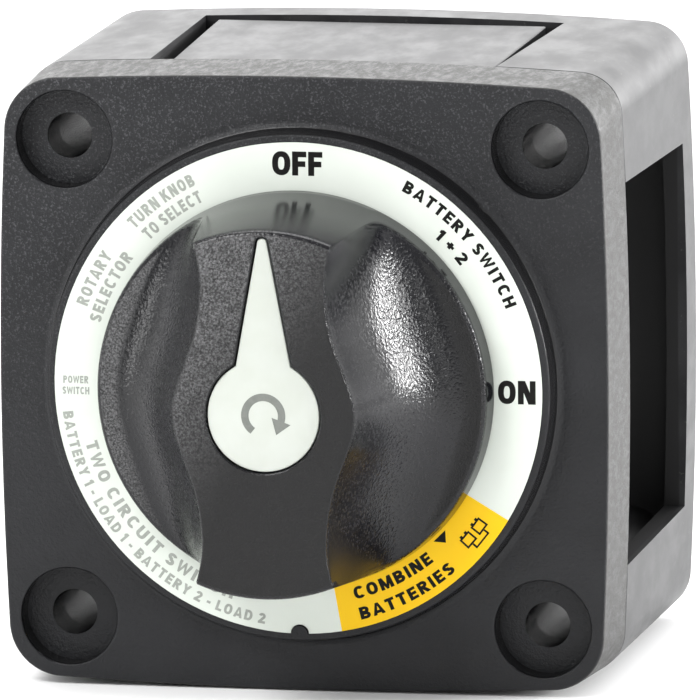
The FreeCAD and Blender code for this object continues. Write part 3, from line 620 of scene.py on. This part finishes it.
def wall_radius(y):
    """The side wall's radius at a depth."""
    narrowing = (RIDGE_END_RADIUS - KNOB_RADIUS) * (KNOB_BASE - y) / (KNOB_BASE - KNOB_FRONT)
    return KNOB_RADIUS + narrowing


def crossing(low, high, excess):
    """The place between low and high where a rising function passes zero."""
    for _ in range(26):
        middle = (low + high) / 2
        if excess(middle) > 0:
            high = middle
        else:
            low = middle
    return (low + high) / 2


def knob_spoke(degrees):
    """The knob's outline from its axis over the front and down the wall, at one dial angle."""
    def front_point(radius):
        return radius, knob_surface(*polar(radius, degrees))

    def past_wall(radius):
        return radius - wall_radius(front_point(radius)[1])

    def past_ridge(radius):
        x, z = polar(radius, degrees)
        return abs(x) - ridge_half(z)

    reach = crossing(RIDGE_END_RADIUS - 0.5, KNOB_RADIUS, past_wall)
    front_reach = reach - KNOB_SHOULDER
    ridge_reach = crossing(0.0, front_reach * 0.985, past_ridge)

    # The front's rows lie closest together at the ridge's edge.
    points = []
    for step in range(1, FRONT_STEPS + 1):
        share = 1 - (1 - step / FRONT_STEPS) ** 1.5
        points.append(front_point(ridge_reach * share))
    for step in range(1, FRONT_STEPS + 1):
        share = (step / FRONT_STEPS) ** 1.35
        points.append(front_point(ridge_reach + (front_reach - ridge_reach) * share))

    # A curve rounds the corner between the front and the wall.
    corner_y = front_point(reach)[1]
    start = points[-1]
    below = corner_y + KNOB_SHOULDER
    end = (wall_radius(below), below)
    for step in range(1, SHOULDER_STEPS + 1):
        t = step / SHOULDER_STEPS
        radius = (1 - t) ** 2 * start[0] + 2 * t * (1 - t) * reach + t * t * end[0]
        y = (1 - t) ** 2 * start[1] + 2 * t * (1 - t) * corner_y + t * t * end[1]
        points.append((radius, y))

    foot = KNOB_BASE - KNOB_FOOT
    for step in range(1, WALL_STEPS + 1):
        y = below + (foot - below) * step / WALL_STEPS
        points.append((wall_radius(y), y))
    points.append((KNOB_RADIUS - 0.08, KNOB_BASE - 0.07))
    points.append((KNOB_RADIUS - 0.3, KNOB_BASE))
    return points


def knob_blank():
    """The knob before its pocket and bore are cut."""
    outlines = [knob_spoke(360.0 * index / SPOKES) for index in range(SPOKES)]
    rings = []
    for level in range(len(outlines[0])):
        ring = []
        for index in range(SPOKES):
            radius, y = outlines[index][level]
            x, z = polar(radius, 360.0 * index / SPOKES)
            ring.append((x, y, z))
        rings.append(ring)
    return lofted("knob_grip", rings)


def pointer_outline(grow, y):
    """The pointer's plan at a depth: a disc with a needle that ends in a small round tip."""
    radius = POINTER_DISC + grow
    half = POINTER_HALF_BASE + grow
    base = math.degrees(math.asin(half / radius))
    points = []
    for step in range(DISC_STEPS + 1):
        x, z = polar(radius, base + (360 - 2 * base) * step / DISC_STEPS)
        points.append((x, y, z))
    tip = POINTER_TIP_RADIUS + grow
    shoulder = POINTER_TIP - POINTER_TIP_RADIUS
    for step in range(TIP_STEPS + 1):
        x, z = polar(tip, -90 + 180 * step / TIP_STEPS)
        points.append((x, y, z + shoulder))
    return points


def pocket_tool():
    """The pointer's pocket with a slightly rounded mouth. Levels are (depth, growth)."""
    levels = [(-1.0, 0.32), (0.0, 0.32), (0.07, 0.23), (0.18, 0.16), (POCKET_DEPTH, POCKET_GAP)]
    return lofted("pocket_tool", [pointer_outline(grow, KNOB_FRONT + y) for y, grow in levels])


def knob_bore_tool():
    """The stepped bore for the screw, the shaft's hexagon and the housing's sleeve."""
    screw_seat = KNOB_FRONT + POCKET_DEPTH + SCREW_SEAT_DEPTH
    socket = KNOB_BASE - SOCKET_DEPTH
    sleeve = BOSS_FRONT - SLEEVE_DEPTH
    profile = [
        (SCREW_HEAD_BORE, KNOB_FRONT + POCKET_DEPTH - 0.5), (SCREW_HEAD_BORE, screw_seat),
        (SCREW_BORE, screw_seat), (SCREW_BORE, socket),
        (SOCKET_BORE, socket), (SOCKET_BORE, sleeve),
        (SLEEVE_BORE, sleeve), (SLEEVE_BORE, KNOB_BASE + 1),
    ]
    return lathe("knob_bore_tool", profile, steps=72)


def stop_lug():
    """The lug below the knob that runs in the dial boss's groove."""
    tip = BOSS_FRONT + LUG_DROP
    rings = []
    for y, inset in ((KNOB_BASE - 0.5, 0.0), (tip - LUG_CHAMFER, 0.0), (tip, LUG_CHAMFER)):
        ring = []
        for step in range(LUG_STEPS + 1):
            x, z = polar(LUG_OUTER - inset, LUG_START + LUG_SPAN * step / LUG_STEPS)
            ring.append((x, y, z))
        for step in range(LUG_STEPS, -1, -1):
            x, z = polar(LUG_INNER + inset, LUG_START + LUG_SPAN * step / LUG_STEPS)
            ring.append((x, y, z))
        rings.append(ring)
    return lofted("stop_lug", rings)


def build_knob():
    """The knob in one piece with its pocket, bore and stop lug."""
    knob = knob_blank()
    boolean(knob, pocket_tool(), "DIFFERENCE")
    boolean(knob, knob_bore_tool(), "DIFFERENCE")
    boolean(knob, stop_lug(), "UNION")
    smooth(knob, 38)
    settle(knob, "knob", "knob_plastic", FINISHES["knob_plastic"], "knob")


def build_pointer():
    """The pointer, slightly below the ridge's face and rounded at its front edge."""
    front = KNOB_FRONT + POINTER_RECESS
    back = KNOB_FRONT + POCKET_DEPTH
    levels = [(front, -0.14), (front + 0.04, -0.05), (front + 0.13, 0.0), (back, 0.0)]
    rings = [pointer_outline(grow, y) for y, grow in levels]
    pointer = smooth(lofted("pointer_inlay", rings), 50)
    settle(pointer, "knob", "pointer_plastic", FINISHES["pointer_plastic"], "pointer_insert")


# ---------------------------------------------------------------- printing on the label


def print_piece(name, mesh, place, ink, front=LABEL_FRONT, body="case", slot="dial_label"):
    """Lays a flat mesh on a face. place turns (across, up) into the dial's X and Z."""
    for v in mesh.vertices:
        x, z = place(v.co.x, v.co.y)
        y = front - PRINT_RISE * v.co.z + PRINT_SINK * (1 - v.co.z)
        v.co = (x * MM, y * MM, z * MM)
    piece = bpy.data.objects.new(name, mesh)
    bpy.context.scene.collection.objects.link(piece)
    outward(piece)
    settle(piece, body, slot, ink)


def stroke(points, width=STROKE, closed=False):
    """A flat ribbon along a line of points, as a thin solid."""
    count = len(points)
    corners = []
    for index in range(count):
        before = points[index - 1] if closed or index else points[index]
        after = points[(index + 1) % count] if closed or index + 1 < count else points[index]
        here = Vector(points[index])
        into, out = here - Vector(before), Vector(after) - here
        first = (into if into.length else out).normalized()
        second = (out if out.length else into).normalized()
        along = (first + second).normalized()
        reach = width / 2 / max(along.dot(first), 0.4)
        side = Vector((-along.y, along.x)) * reach
        for edge in (here + side, here - side):
            corners += [(edge.x, edge.y, 0.0), (edge.x, edge.y, 1.0)]
    faces = []
    for index in range(count if closed else count - 1):
        a, b = 4 * index, 4 * ((index + 1) % count)
        for first, second in ((0, 1), (1, 3), (3, 2), (2, 0)):
            faces.append((a + first, a + second, b + second, b + first))
    if not closed:
        end = 4 * (count - 1)
        faces += [(0, 2, 3, 1), (end, end + 1, end + 3, end + 2)]
    mesh = bpy.data.meshes.new("stroke")
    mesh.from_pydata(corners, [], faces)
    made = bpy.data.objects.new("stroke", mesh)
    bpy.context.scene.collection.objects.link(made)
    return outward(made)


def oval(x, y, wide, high, start=0.0, end=360.0, steps=28, power=2.4):
    """Points of a squarish oval, by degrees counterclockwise from the right."""
    points = []
    whole = end - start >= 360.0
    for step in range(steps if whole else steps + 1):
        angle = math.radians(start + (end - start) * step / steps)
        c, s = math.cos(angle), math.sin(angle)
        across = wide * math.copysign(abs(c) ** (2 / power), c)
        up = high * math.copysign(abs(s) ** (2 / power), s)
        points.append((x + across, y + up))
    return points


def bowl(low, high, width):
    """The round part of a B, D, P or R between two heights."""
    h = HALF_STROKE
    middle, reach = (low + high) / 2, (high - low) / 2 - h
    corner = width - h - min(reach, 0.26)
    curve = oval(corner, middle, width - h - corner, reach, 82, -82, 12, 2.1)
    return [(h, high - h), (corner, high - h)] + curve + [(corner, low + h), (h, low + h)]


def letter_strokes(letter):
    """A block letter's width and the lines of its strokes. The letter is 1 high."""
    h = HALF_STROKE
    top = 1 - h
    stem = [(h, 0), (h, 1)]
    if letter == "A":
        return 0.74, [[(h - 0.05, -0.1), (0.37, 1.04), (0.79 - h, -0.1)], [(0.16, 0.26), (0.58, 0.26)]]
    if letter == "B":
        return 0.66, [stem, bowl(0.43, 1, 0.62), bowl(0, 0.56, 0.66)]
    if letter == "C":
        return 0.68, [oval(0.36, 0.5, 0.36 - h, 0.5 - h, 42, 318)]
    if letter == "D":
        return 0.70, [stem, bowl(0, 1, 0.70)]
    if letter == "E":
        return 0.57, [stem, [(h, top), (0.57, top)], [(h, 0.5), (0.53, 0.5)], [(h, h), (0.57, h)]]
    if letter == "F":
        return 0.56, [stem, [(h, top), (0.56, top)], [(h, 0.48), (0.52, 0.48)]]
    if letter == "H":
        return 0.70, [stem, [(0.70 - h, 0), (0.70 - h, 1)], [(h, 0.5), (0.70 - h, 0.5)]]
    if letter == "I":
        return STROKE, [stem]
    if letter == "K":
        return 0.70, [stem, [(0.12, 0.33), (0.68, 1.15)], [(0.27, 0.66), (0.68, -0.15)]]
    if letter == "L":
        return 0.54, [stem, [(h, h), (0.54, h)]]
    if letter == "M":
        middle = [(h * 0.9, 1.1), (0.43, 0.1), (0.86 - h * 0.9, 1.1)]
        return 0.86, [stem, [(0.86 - h, 0), (0.86 - h, 1)], middle]
    if letter == "N":
        return 0.72, [stem, [(0.72 - h, 0), (0.72 - h, 1)], [(h * 0.8, 1.2), (0.72 - h * 0.8, -0.2)]]
    if letter == "P":
        return 0.64, [stem, bowl(0.40, 1, 0.64)]
    if letter == "R":
        return 0.67, [stem, bowl(0.42, 1, 0.64), [(0.3, 0.5), (0.62, -0.15)]]
    if letter == "S":
        glint_side_mask = oval(0.31, 0.72, 0.31 - h, 0.28 - h, 18, 262, 16, 2.1)
        lower = oval(0.31, 0.285, 0.31 - h, 0.285 - h, 82, -162, 16, 2.1)
        return 0.62, [glint_side_mask + lower]
    if letter == "T":
        return 0.62, [[(0, top), (0.62, top)], [(0.31, 0), (0.31, top)]]
    if letter == "U":
        foot = oval(0.35, 0.36, 0.35 - h, 0.36 - h, 180, 360, 14, 2.2)
        return 0.70, [[(h, 1)] + foot + [(0.70 - h, 1)]]
    if letter == "W":
        return 0.96, [[(0.05, 1.1), (0.26, 0.08), (0.48, 0.9), (0.70, 0.08), (0.91, 1.1)]]
    if letter == "Y":
        return 0.70, [[(h - 0.06, 1.1), (0.35, 0.44), (0.76 - h, 1.1)], [(0.35, 0.48), (0.35, 0)]]
    if letter == "1":
        return 0.36, [[(0.36 - h, 0), (0.36 - h, 1)], [(-0.02, 0.70), (0.27, 0.93)]]
    if letter == "2":
        hook = oval(0.31, 0.70, 0.31 - h, 0.30 - h, 170, -28, 14, 2.0)
        return 0.62, [hook + [(0.10, 0.12)], [(0, h), (0.62, h)]]
    if letter == "+":
        return 0.56, [[(0, 0.45), (0.56, 0.45)], [(0.28, 0.17), (0.28, 0.73)]]
    if letter == "-":
        return 0.34, [[(0, 0.42), (0.34, 0.42)]]
    return 0.72, [oval(0.36, 0.5, 0.36 - h, 0.5 - h)]


LETTERS = {}


def block_letter(letter):
    """One block letter as a single closed thin solid, and its width."""
    if letter not in LETTERS:
        width, lines = letter_strokes(letter)
        solids = [stroke(line, closed=letter == "O") for line in lines]
        whole = solids[0]
        for solid in solids[1:]:
            boolean(whole, solid, "UNION")
        box = stroke([(-0.001, 0.5), (width + 0.001, 0.5)], 1.0)
        for v in box.data.vertices:
            v.co.z = 2 * v.co.z - 0.5
        boolean(whole, box, "INTERSECT")
        mesh = whole.data
        bpy.data.objects.remove(whole)
        LETTERS[letter] = (width, mesh)
    return LETTERS[letter]


def block_words(text, cap, width, gap):
    """Block letters side by side, centred on the origin. The gap is a share of the height."""
    whole = bmesh.new()
    reach = 0.0
    for letter in text:
        if letter == " ":
            reach += SPACE
            continue
        wide, mesh = block_letter(letter)
        part = bmesh.new()
        part.from_mesh(mesh)
        bmesh.ops.translate(part, verts=part.verts, vec=(reach, -0.5, 0.0))
        placed = bpy.data.meshes.new("placed")
        part.to_mesh(placed)
        part.free()
        whole.from_mesh(placed)
        reach += wide + gap
    reach -= gap
    for v in whole.verts:
        v.co = ((v.co.x - reach / 2) * width / reach, v.co.y * cap, v.co.z)
    mesh = bpy.data.meshes.new("words")
    whole.to_mesh(mesh)
    whole.free()
    return mesh


def upright(x, z):
    """Places a line of print level, with its middle at x and z."""
    return lambda across, up: (x + across, z + up)


def around(radius, degrees, inward):
    """Bends a line of print round the dial. Inward print has its tops towards the knob."""
    sense = -1 if inward else 1

    def place(across, up):
        return polar(radius + sense * up, degrees + sense * math.degrees(across / radius))

    return place


def arc_words(name, text, radius, start, end, cap, gap, ink, inward):
    """Words that fill the dial from one angle to another."""
    width = abs(math.radians(end - start)) * radius
    words = block_words(text, cap, width, gap)
    print_piece(name, words, around(radius, (start + end) / 2, inward), ink)


def plate_mesh(outlines):
    """A mesh of thin plates from outlines in the print's plane."""
    points, faces = [], []
    for outline in outlines:
        count, base = len(outline), len(points)
        points += [(x, y, 0.0) for x, y in outline] + [(x, y, 1.0) for x, y in outline]
        faces.append(tuple(range(base + count - 1, base - 1, -1)))
        faces.append(tuple(range(base + count, base + 2 * count)))
        for step in range(count):
            after = (step + 1) % count
            faces.append((base + step, base + after, base + count + after, base + count + step))
    mesh = bpy.data.meshes.new("plates")
    mesh.from_pydata(points, [], faces)
    return mesh


def bar(x0, y0, x1, y1):
    """A rectangle's corners."""
    return [(x0, y0), (x1, y0), (x1, y1), (x0, y1)]


def linked_batteries():
    """Two small battery outlines joined by a line at the bottom."""
    bars = []
    for middle in (-1.0, 1.0):
        left, right = middle - 0.78, middle + 0.78
        bars += [bar(left, -0.75, right, -0.53), bar(left, 0.4, right, 0.62)]
        bars += [bar(left, -0.53, left + 0.22, 0.4), bar(right - 0.22, -0.53, right, 0.4)]
        bars.append(bar(middle - 0.55, 0.62, middle - 0.2, 0.86))
        bars.append(bar(middle + 0.2, 0.62, middle + 0.55, 0.86))
        bars += [bar(middle - 0.11, -1.25, middle + 0.11, -0.75)]
    bars.append(bar(-1.11, -1.45, 1.11, -1.25))
    return plate_mesh(bars)


# Words bent round the dial: name, text, radius, start and end angles, height of the letters, gap
# as a share of it, ink, and whether their tops are towards the knob.
ARC_PRINT_FIRST = [
    ("print_title", "BATTERY SWITCH", 26.5, 28.0, 68.0, 1.38, 0.2, BLACK_INK, False),
    ("print_pair", "1 + 2", 24.35, 42.0, 52.4, 1.38, 0.12, BLACK_INK, False),
    ("print_combine", "COMBINE", 24.05, 164.9, 141.3, 1.42, 0.17, BLACK_INK, True),
    ("print_batteries", "BATTERIES", 26.45, 164.8, 138.4, 1.4, 0.17, BLACK_INK, True),
]
ARC_PRINT_LEFT = [
    ("print_turn", "TURN KNOB", 26.35, -46.2, -26.6, 1.42, 0.2, GREY_INK, False),
    ("print_select", "TO SELECT", 24.3, -45.6, -26.8, 1.42, 0.2, GREY_INK, False),
    ("print_rotary", "ROTARY", 26.35, -70.0, -55.5, 1.38, 0.2, GREY_INK, False),
    ("print_selector", "SELECTOR", 24.35, -73.0, -52.4, 1.38, 0.2, GREY_INK, False),
]
ARC_PRINT_LAST = [
    (
        "print_posts", "BATTERY 1 - LOAD 1 - BATTERY 2 - LOAD 2",
        26.7, -97.0, -171.5, 1.2, 0.2, GREY_INK, True,
    ),
    ("print_kind", "TWO CIRCUIT SWITCH", 24.75, -105.5, -162.2, 1.42, 0.22, GREY_INK, True),
]


def level_words(name, text, cap, width, gap, x, z, ink):
    """Words printed level, with their middle at x and z."""
    print_piece(name, block_words(text, cap, width, gap), upright(x, z), ink)


def print_label():
    """Everything printed on the label."""
    level_words("print_off", "OFF", 2.73, 5.77, 0.07, 0.19, 25.62, BLACK_INK)
    level_words("print_on", "ON", 2.67, 4.3, 0.09, 25.13, 0.2, BLACK_INK)
    for line in ARC_PRINT_FIRST:
        arc_words(*line)
    arrow = plate_mesh([[(-0.97, 0.5), (0.97, 0.5), (0.0, -0.55)]])
    print_piece("print_arrow", arrow, around(23.5, 135.4, True), BLACK_INK)
    print_piece("print_icon", linked_batteries(), around(25.6, 128.4, True), BLACK_INK)
    for line in ARC_PRINT_LEFT:
        arc_words(*line)
    level_words("print_power", "POWER", 0.85, 2.9, 0.14, -25.55, 0.4, GREY_INK)
    level_words("print_switch", "SWITCH", 0.85, 3.1, 0.14, -25.55, -0.85, GREY_INK)
    for line in ARC_PRINT_LAST:
        arc_words(*line)


def print_turn_mark():
    """A clockwise arrow on the pointer's disc."""
    ring_radius, ring_width = 2.1, 0.85
    start, end = -20.0, 235.0
    head_half_width, head_overlap = 1.15, 0.15
    head_length = head_half_width * 1.45
    ring = stroke(oval(0, 0, ring_radius, ring_radius, start, end, 36, 2.0), ring_width)
    angle = math.radians(start)
    across = Vector((math.cos(angle), math.sin(angle)))
    along = Vector((math.sin(angle), -math.cos(angle)))
    middle = across * ring_radius - along * head_overlap
    side = across * head_half_width
    corners = [middle + side, middle - side, middle + along * head_length]
    arrowhead = bpy.data.objects.new("arrowhead", plate_mesh([[(p.x, p.y) for p in corners]]))
    bpy.context.scene.collection.objects.link(arrowhead)
    boolean(ring, outward(arrowhead), "UNION")
    mark = ring.data
    bpy.data.objects.remove(ring)
    front = KNOB_FRONT + POINTER_RECESS
    place = upright(0.0, 0.0)
    print_piece("print_turn_mark", mark, place, MARK_INK, front, "knob", "pointer_plastic")


# ---------------------------------------------------------------- studs


def threaded_rod(name, x, z, front, back, radius):
    """A rod with a helical thread that fades at its cut end."""
    around_steps, per_turn = 48, 8
    rows = int((back - front) / THREAD_PITCH * per_turn)
    rings = []
    for row in range(rows + 1):
        y = front + (back - front) * row / rows
        ring = []
        fade = min(1.0, (back - y) / THREAD_FADE)
        for step in range(around_steps):
            turn = step / around_steps
            phase = (y / THREAD_PITCH + turn) % 1.0
            tooth = min(1.0, max(0.0, 1.25 * abs(2 * phase - 1) - 0.125))
            depth = THREAD_DEPTH * (1 - tooth)
            size = min(radius - depth, radius - 0.75 * (1 - fade))
            dx, dz = polar(size, 360 * turn)
            ring.append((x + dx, y, z + dz))
        rings.append(ring)
    return lofted(name, rings)


def hexagon(x, y, z, radius):
    """A ring of six corners at a depth."""
    ring = []
    for side in range(6):
        dx, dz = polar(radius, 30 + 60 * side)
        ring.append((x + dx, y, z + dz))
    return ring


def build_studs():
    """The four terminal studs: a round foot, a hexagonal collar and a threaded rod."""
    small = COLLAR_RADIUS - COLLAR_CHAMFER
    for node in ("battery_1_stud", "load_1_stud", "battery_2_stud", "load_2_stud"):
        low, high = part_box(node)
        x, z = (low.x + high.x) / 2 / MM, (low.z + high.z) / 2 / MM
        front, back = low.y / MM, high.y / MM
        collar = front + COLLAR_BACK
        rod = threaded_rod(node + "_threaded", x, z, collar - 0.4, back, THREAD_RADIUS)
        foot_profile = [(STUD_FOOT, front), (STUD_FOOT, collar - COLLAR_THICK + 0.1)]
        foot = lathe("stud_foot", foot_profile, x, z, 48)
        rings = [
            hexagon(x, collar - COLLAR_THICK, z, small),
            hexagon(x, collar - COLLAR_THICK + 0.2, z, COLLAR_RADIUS),
            hexagon(x, collar - 0.2, z, COLLAR_RADIUS),
            hexagon(x, collar, z, small),
        ]
        boolean(rod, lofted("stud_collar", rings), "UNION")
        boolean(rod, foot, "UNION")
        smooth(rod, 40)
        settle(rod, BODY_OF[node], SLOTS[node], FINISHES[SLOTS[node]], node)


# ---------------------------------------------------------------- parts kept from the CAD

# How far each CAD part's edges are rounded, and the name of its rounded copy
SOFTENED = {
    "front_housing": (0.12, "housing_moulding"),
    "rear_cover": (0.15, "cover_moulding"),
    "top_side_plate": (0.2, "top_plate_moulding"),
    "bottom_side_plate": (0.2, "bottom_plate_moulding"),
    "contact_base": (0.12, "base_moulding"),
    "terminal_nuts": (0.12, "terminal_nuts_rounded"),
    "jam_nuts": (0.12, "jam_nuts_rounded"),
    "lock_washers": (0.12, "lock_washers_rounded"),
    "stud_washers": (0.12, "stud_washers_rounded"),
    "knob_screw": (0.08, "knob_screw_rounded"),
    "dial_label": (0.03, "label_film"),
}


def finish_cad_parts():
    """Rounded copies of some CAD parts, and a finish on the CAD parts that still show."""
    for node, (width, name) in SOFTENED.items():
        finish = PLATE_FINISH if node.endswith("side_plate") else FINISHES[SLOTS[node]]
        settle(softened(node, width, name), BODY_OF[node], SLOTS[node], finish, node)
    for node, shape in frame["nodes"].items():
        if not shape.hide_render:
            shape.data.materials.clear()
            shape.data.materials.append(FINISHES[SLOTS[node]])


# ---------------------------------------------------------------- studio

WORLD_FRONT, WORLD_BACK = 0.64, 2.7

# Soft boxes: name, azimuth and elevation seen from the dial, distance, width, height, radiance
SOFT_BOXES = [
    ("back_right", 150.0, 6.0, 1.2, 0.5, 0.5, 3.0),
    ("key_left", -36.0, 46.0, 0.5, 0.21, 0.21, 13.3),
    ("strip_right", 99.0, 10.0, 0.5, 0.065, 0.14, 78.0),
    ("edge_right", 81.0, 17.0, 0.6, 0.03, 0.16, 50.0),
    ("edge_front", 48.0, 14.0, 0.7, 0.025, 0.2, 28.0),
    ("side_left", -71.0, 6.0, 0.7, 0.2, 0.2, 7.0),
]


def build_floor():
    """A plain pale floor just below the case."""
    reach = FLOOR_REACH
    z = FLOOR_Z / MM - FLOOR_GAP
    corners = [(-reach, -reach, z), (reach, -reach, z), (reach, reach, z), (-reach, reach, z)]
    floor = make_object("studio_floor", corners, [(0, 1, 2, 3)])
    f = Finish("floor_pale")
    tint = f.ramp(f.noise(300.0, 2.0), 0.3, 0.7)
    f.set("Base Color", f.mix(tint, (0.93, 0.93, 0.93), (0.95, 0.95, 0.95)))
    f.set("Roughness", f.ramp(f.noise(60.0, 2.0), 0.3, 0.7, 0.85, 0.95))
    f.set("Specular IOR Level", 0.2)
    floor.data.materials.append(f.material)


def build_world():
    """An even pale surround that is brighter behind the object than in front of it."""
    world = bpy.data.worlds.new("studio")
    bpy.context.scene.world = world
    world.use_nodes = True
    tree = world.node_tree
    tree.nodes.clear()
    output = tree.nodes.new("ShaderNodeOutputWorld")
    light = tree.nodes.new("ShaderNodeBackground")
    coords = tree.nodes.new("ShaderNodeTexCoord")
    split = tree.nodes.new("ShaderNodeSeparateXYZ")
    ramp = tree.nodes.new("ShaderNodeMapRange")
    ramp.interpolation_type = "SMOOTHSTEP"
    ramp.inputs["From Min"].default_value = -0.3
    ramp.inputs["From Max"].default_value = 0.7
    ramp.inputs["To Min"].default_value = WORLD_FRONT
    ramp.inputs["To Max"].default_value = WORLD_BACK
    light.inputs["Color"].default_value = (1.0, 1.0, 1.0, 1.0)
    tree.links.new(coords.outputs["Generated"], split.inputs[0])
    tree.links.new(split.outputs[1], ramp.inputs["Value"])
    tree.links.new(ramp.outputs[0], light.inputs["Strength"])
    tree.links.new(light.outputs[0], output.inputs["Surface"])


def soft_light(name, azimuth, elevation, distance, width, height, radiance):
    """A soft box aimed at the dial that the camera doesn't see."""
    data = bpy.data.lights.new(name, "AREA")
    data.shape = "RECTANGLE"
    data.size, data.size_y = width, height
    data.energy = radiance * math.pi * width * height
    box = bpy.data.objects.new(name, data)
    bpy.context.scene.collection.objects.link(box)
    a, e = math.radians(azimuth), math.radians(elevation)
    away = Vector((math.sin(a) * math.cos(e), -math.cos(a) * math.cos(e), math.sin(e)))
    target = Vector((0.0, FLANGE_FRONT * MM, 0.0))
    box.location = target + away * distance
    box.rotation_mode = "QUATERNION"
    box.rotation_quaternion = away.to_track_quat("Z", "Y")
    box.visible_camera = False


def build_camera():
    """The fitted view, measured from the middle of the dial's flange."""
    azimuth, elevation = math.radians(VIEW_AZIMUTH), math.radians(VIEW_ELEVATION)
    roll = math.radians(VIEW_ROLL)
    start = Vector((0.0, FLANGE_FRONT * MM, 0.0))
    out = Vector((
        math.sin(azimuth) * math.cos(elevation),
        -math.cos(azimuth) * math.cos(elevation),
        math.sin(elevation),
    ))
    place = out * VIEW_DISTANCE
    back = (place - Vector(VIEW_AIM)).normalized()
    right = Vector((0.0, 0.0, 1.0)).cross(back).normalized()
    up = back.cross(right)
    turned_right = right * math.cos(roll) + up * math.sin(roll)
    turned_up = up * math.cos(roll) - right * math.sin(roll)
    data = bpy.data.cameras.new("camera")
    data.sensor_width = SENSOR_WIDTH
    data.lens = FOCAL_LENGTH
    data.clip_start, data.clip_end = 0.1, 12.0
    camera = bpy.data.objects.new("camera", data)
    bpy.context.scene.collection.objects.link(camera)
    axes = Matrix((turned_right, turned_up, back)).transposed().to_4x4()
    camera.matrix_world = Matrix.Translation(start + place) @ axes
    bpy.context.scene.camera = camera


build_knob()
build_pointer()
build_studs()
finish_cad_parts()
print_label()
print_turn_mark()
build_floor()
build_world()
for soft_box in SOFT_BOXES:
    soft_light(*soft_box)
build_camera()
bpy.context.scene.view_settings.view_transform = "Standard"
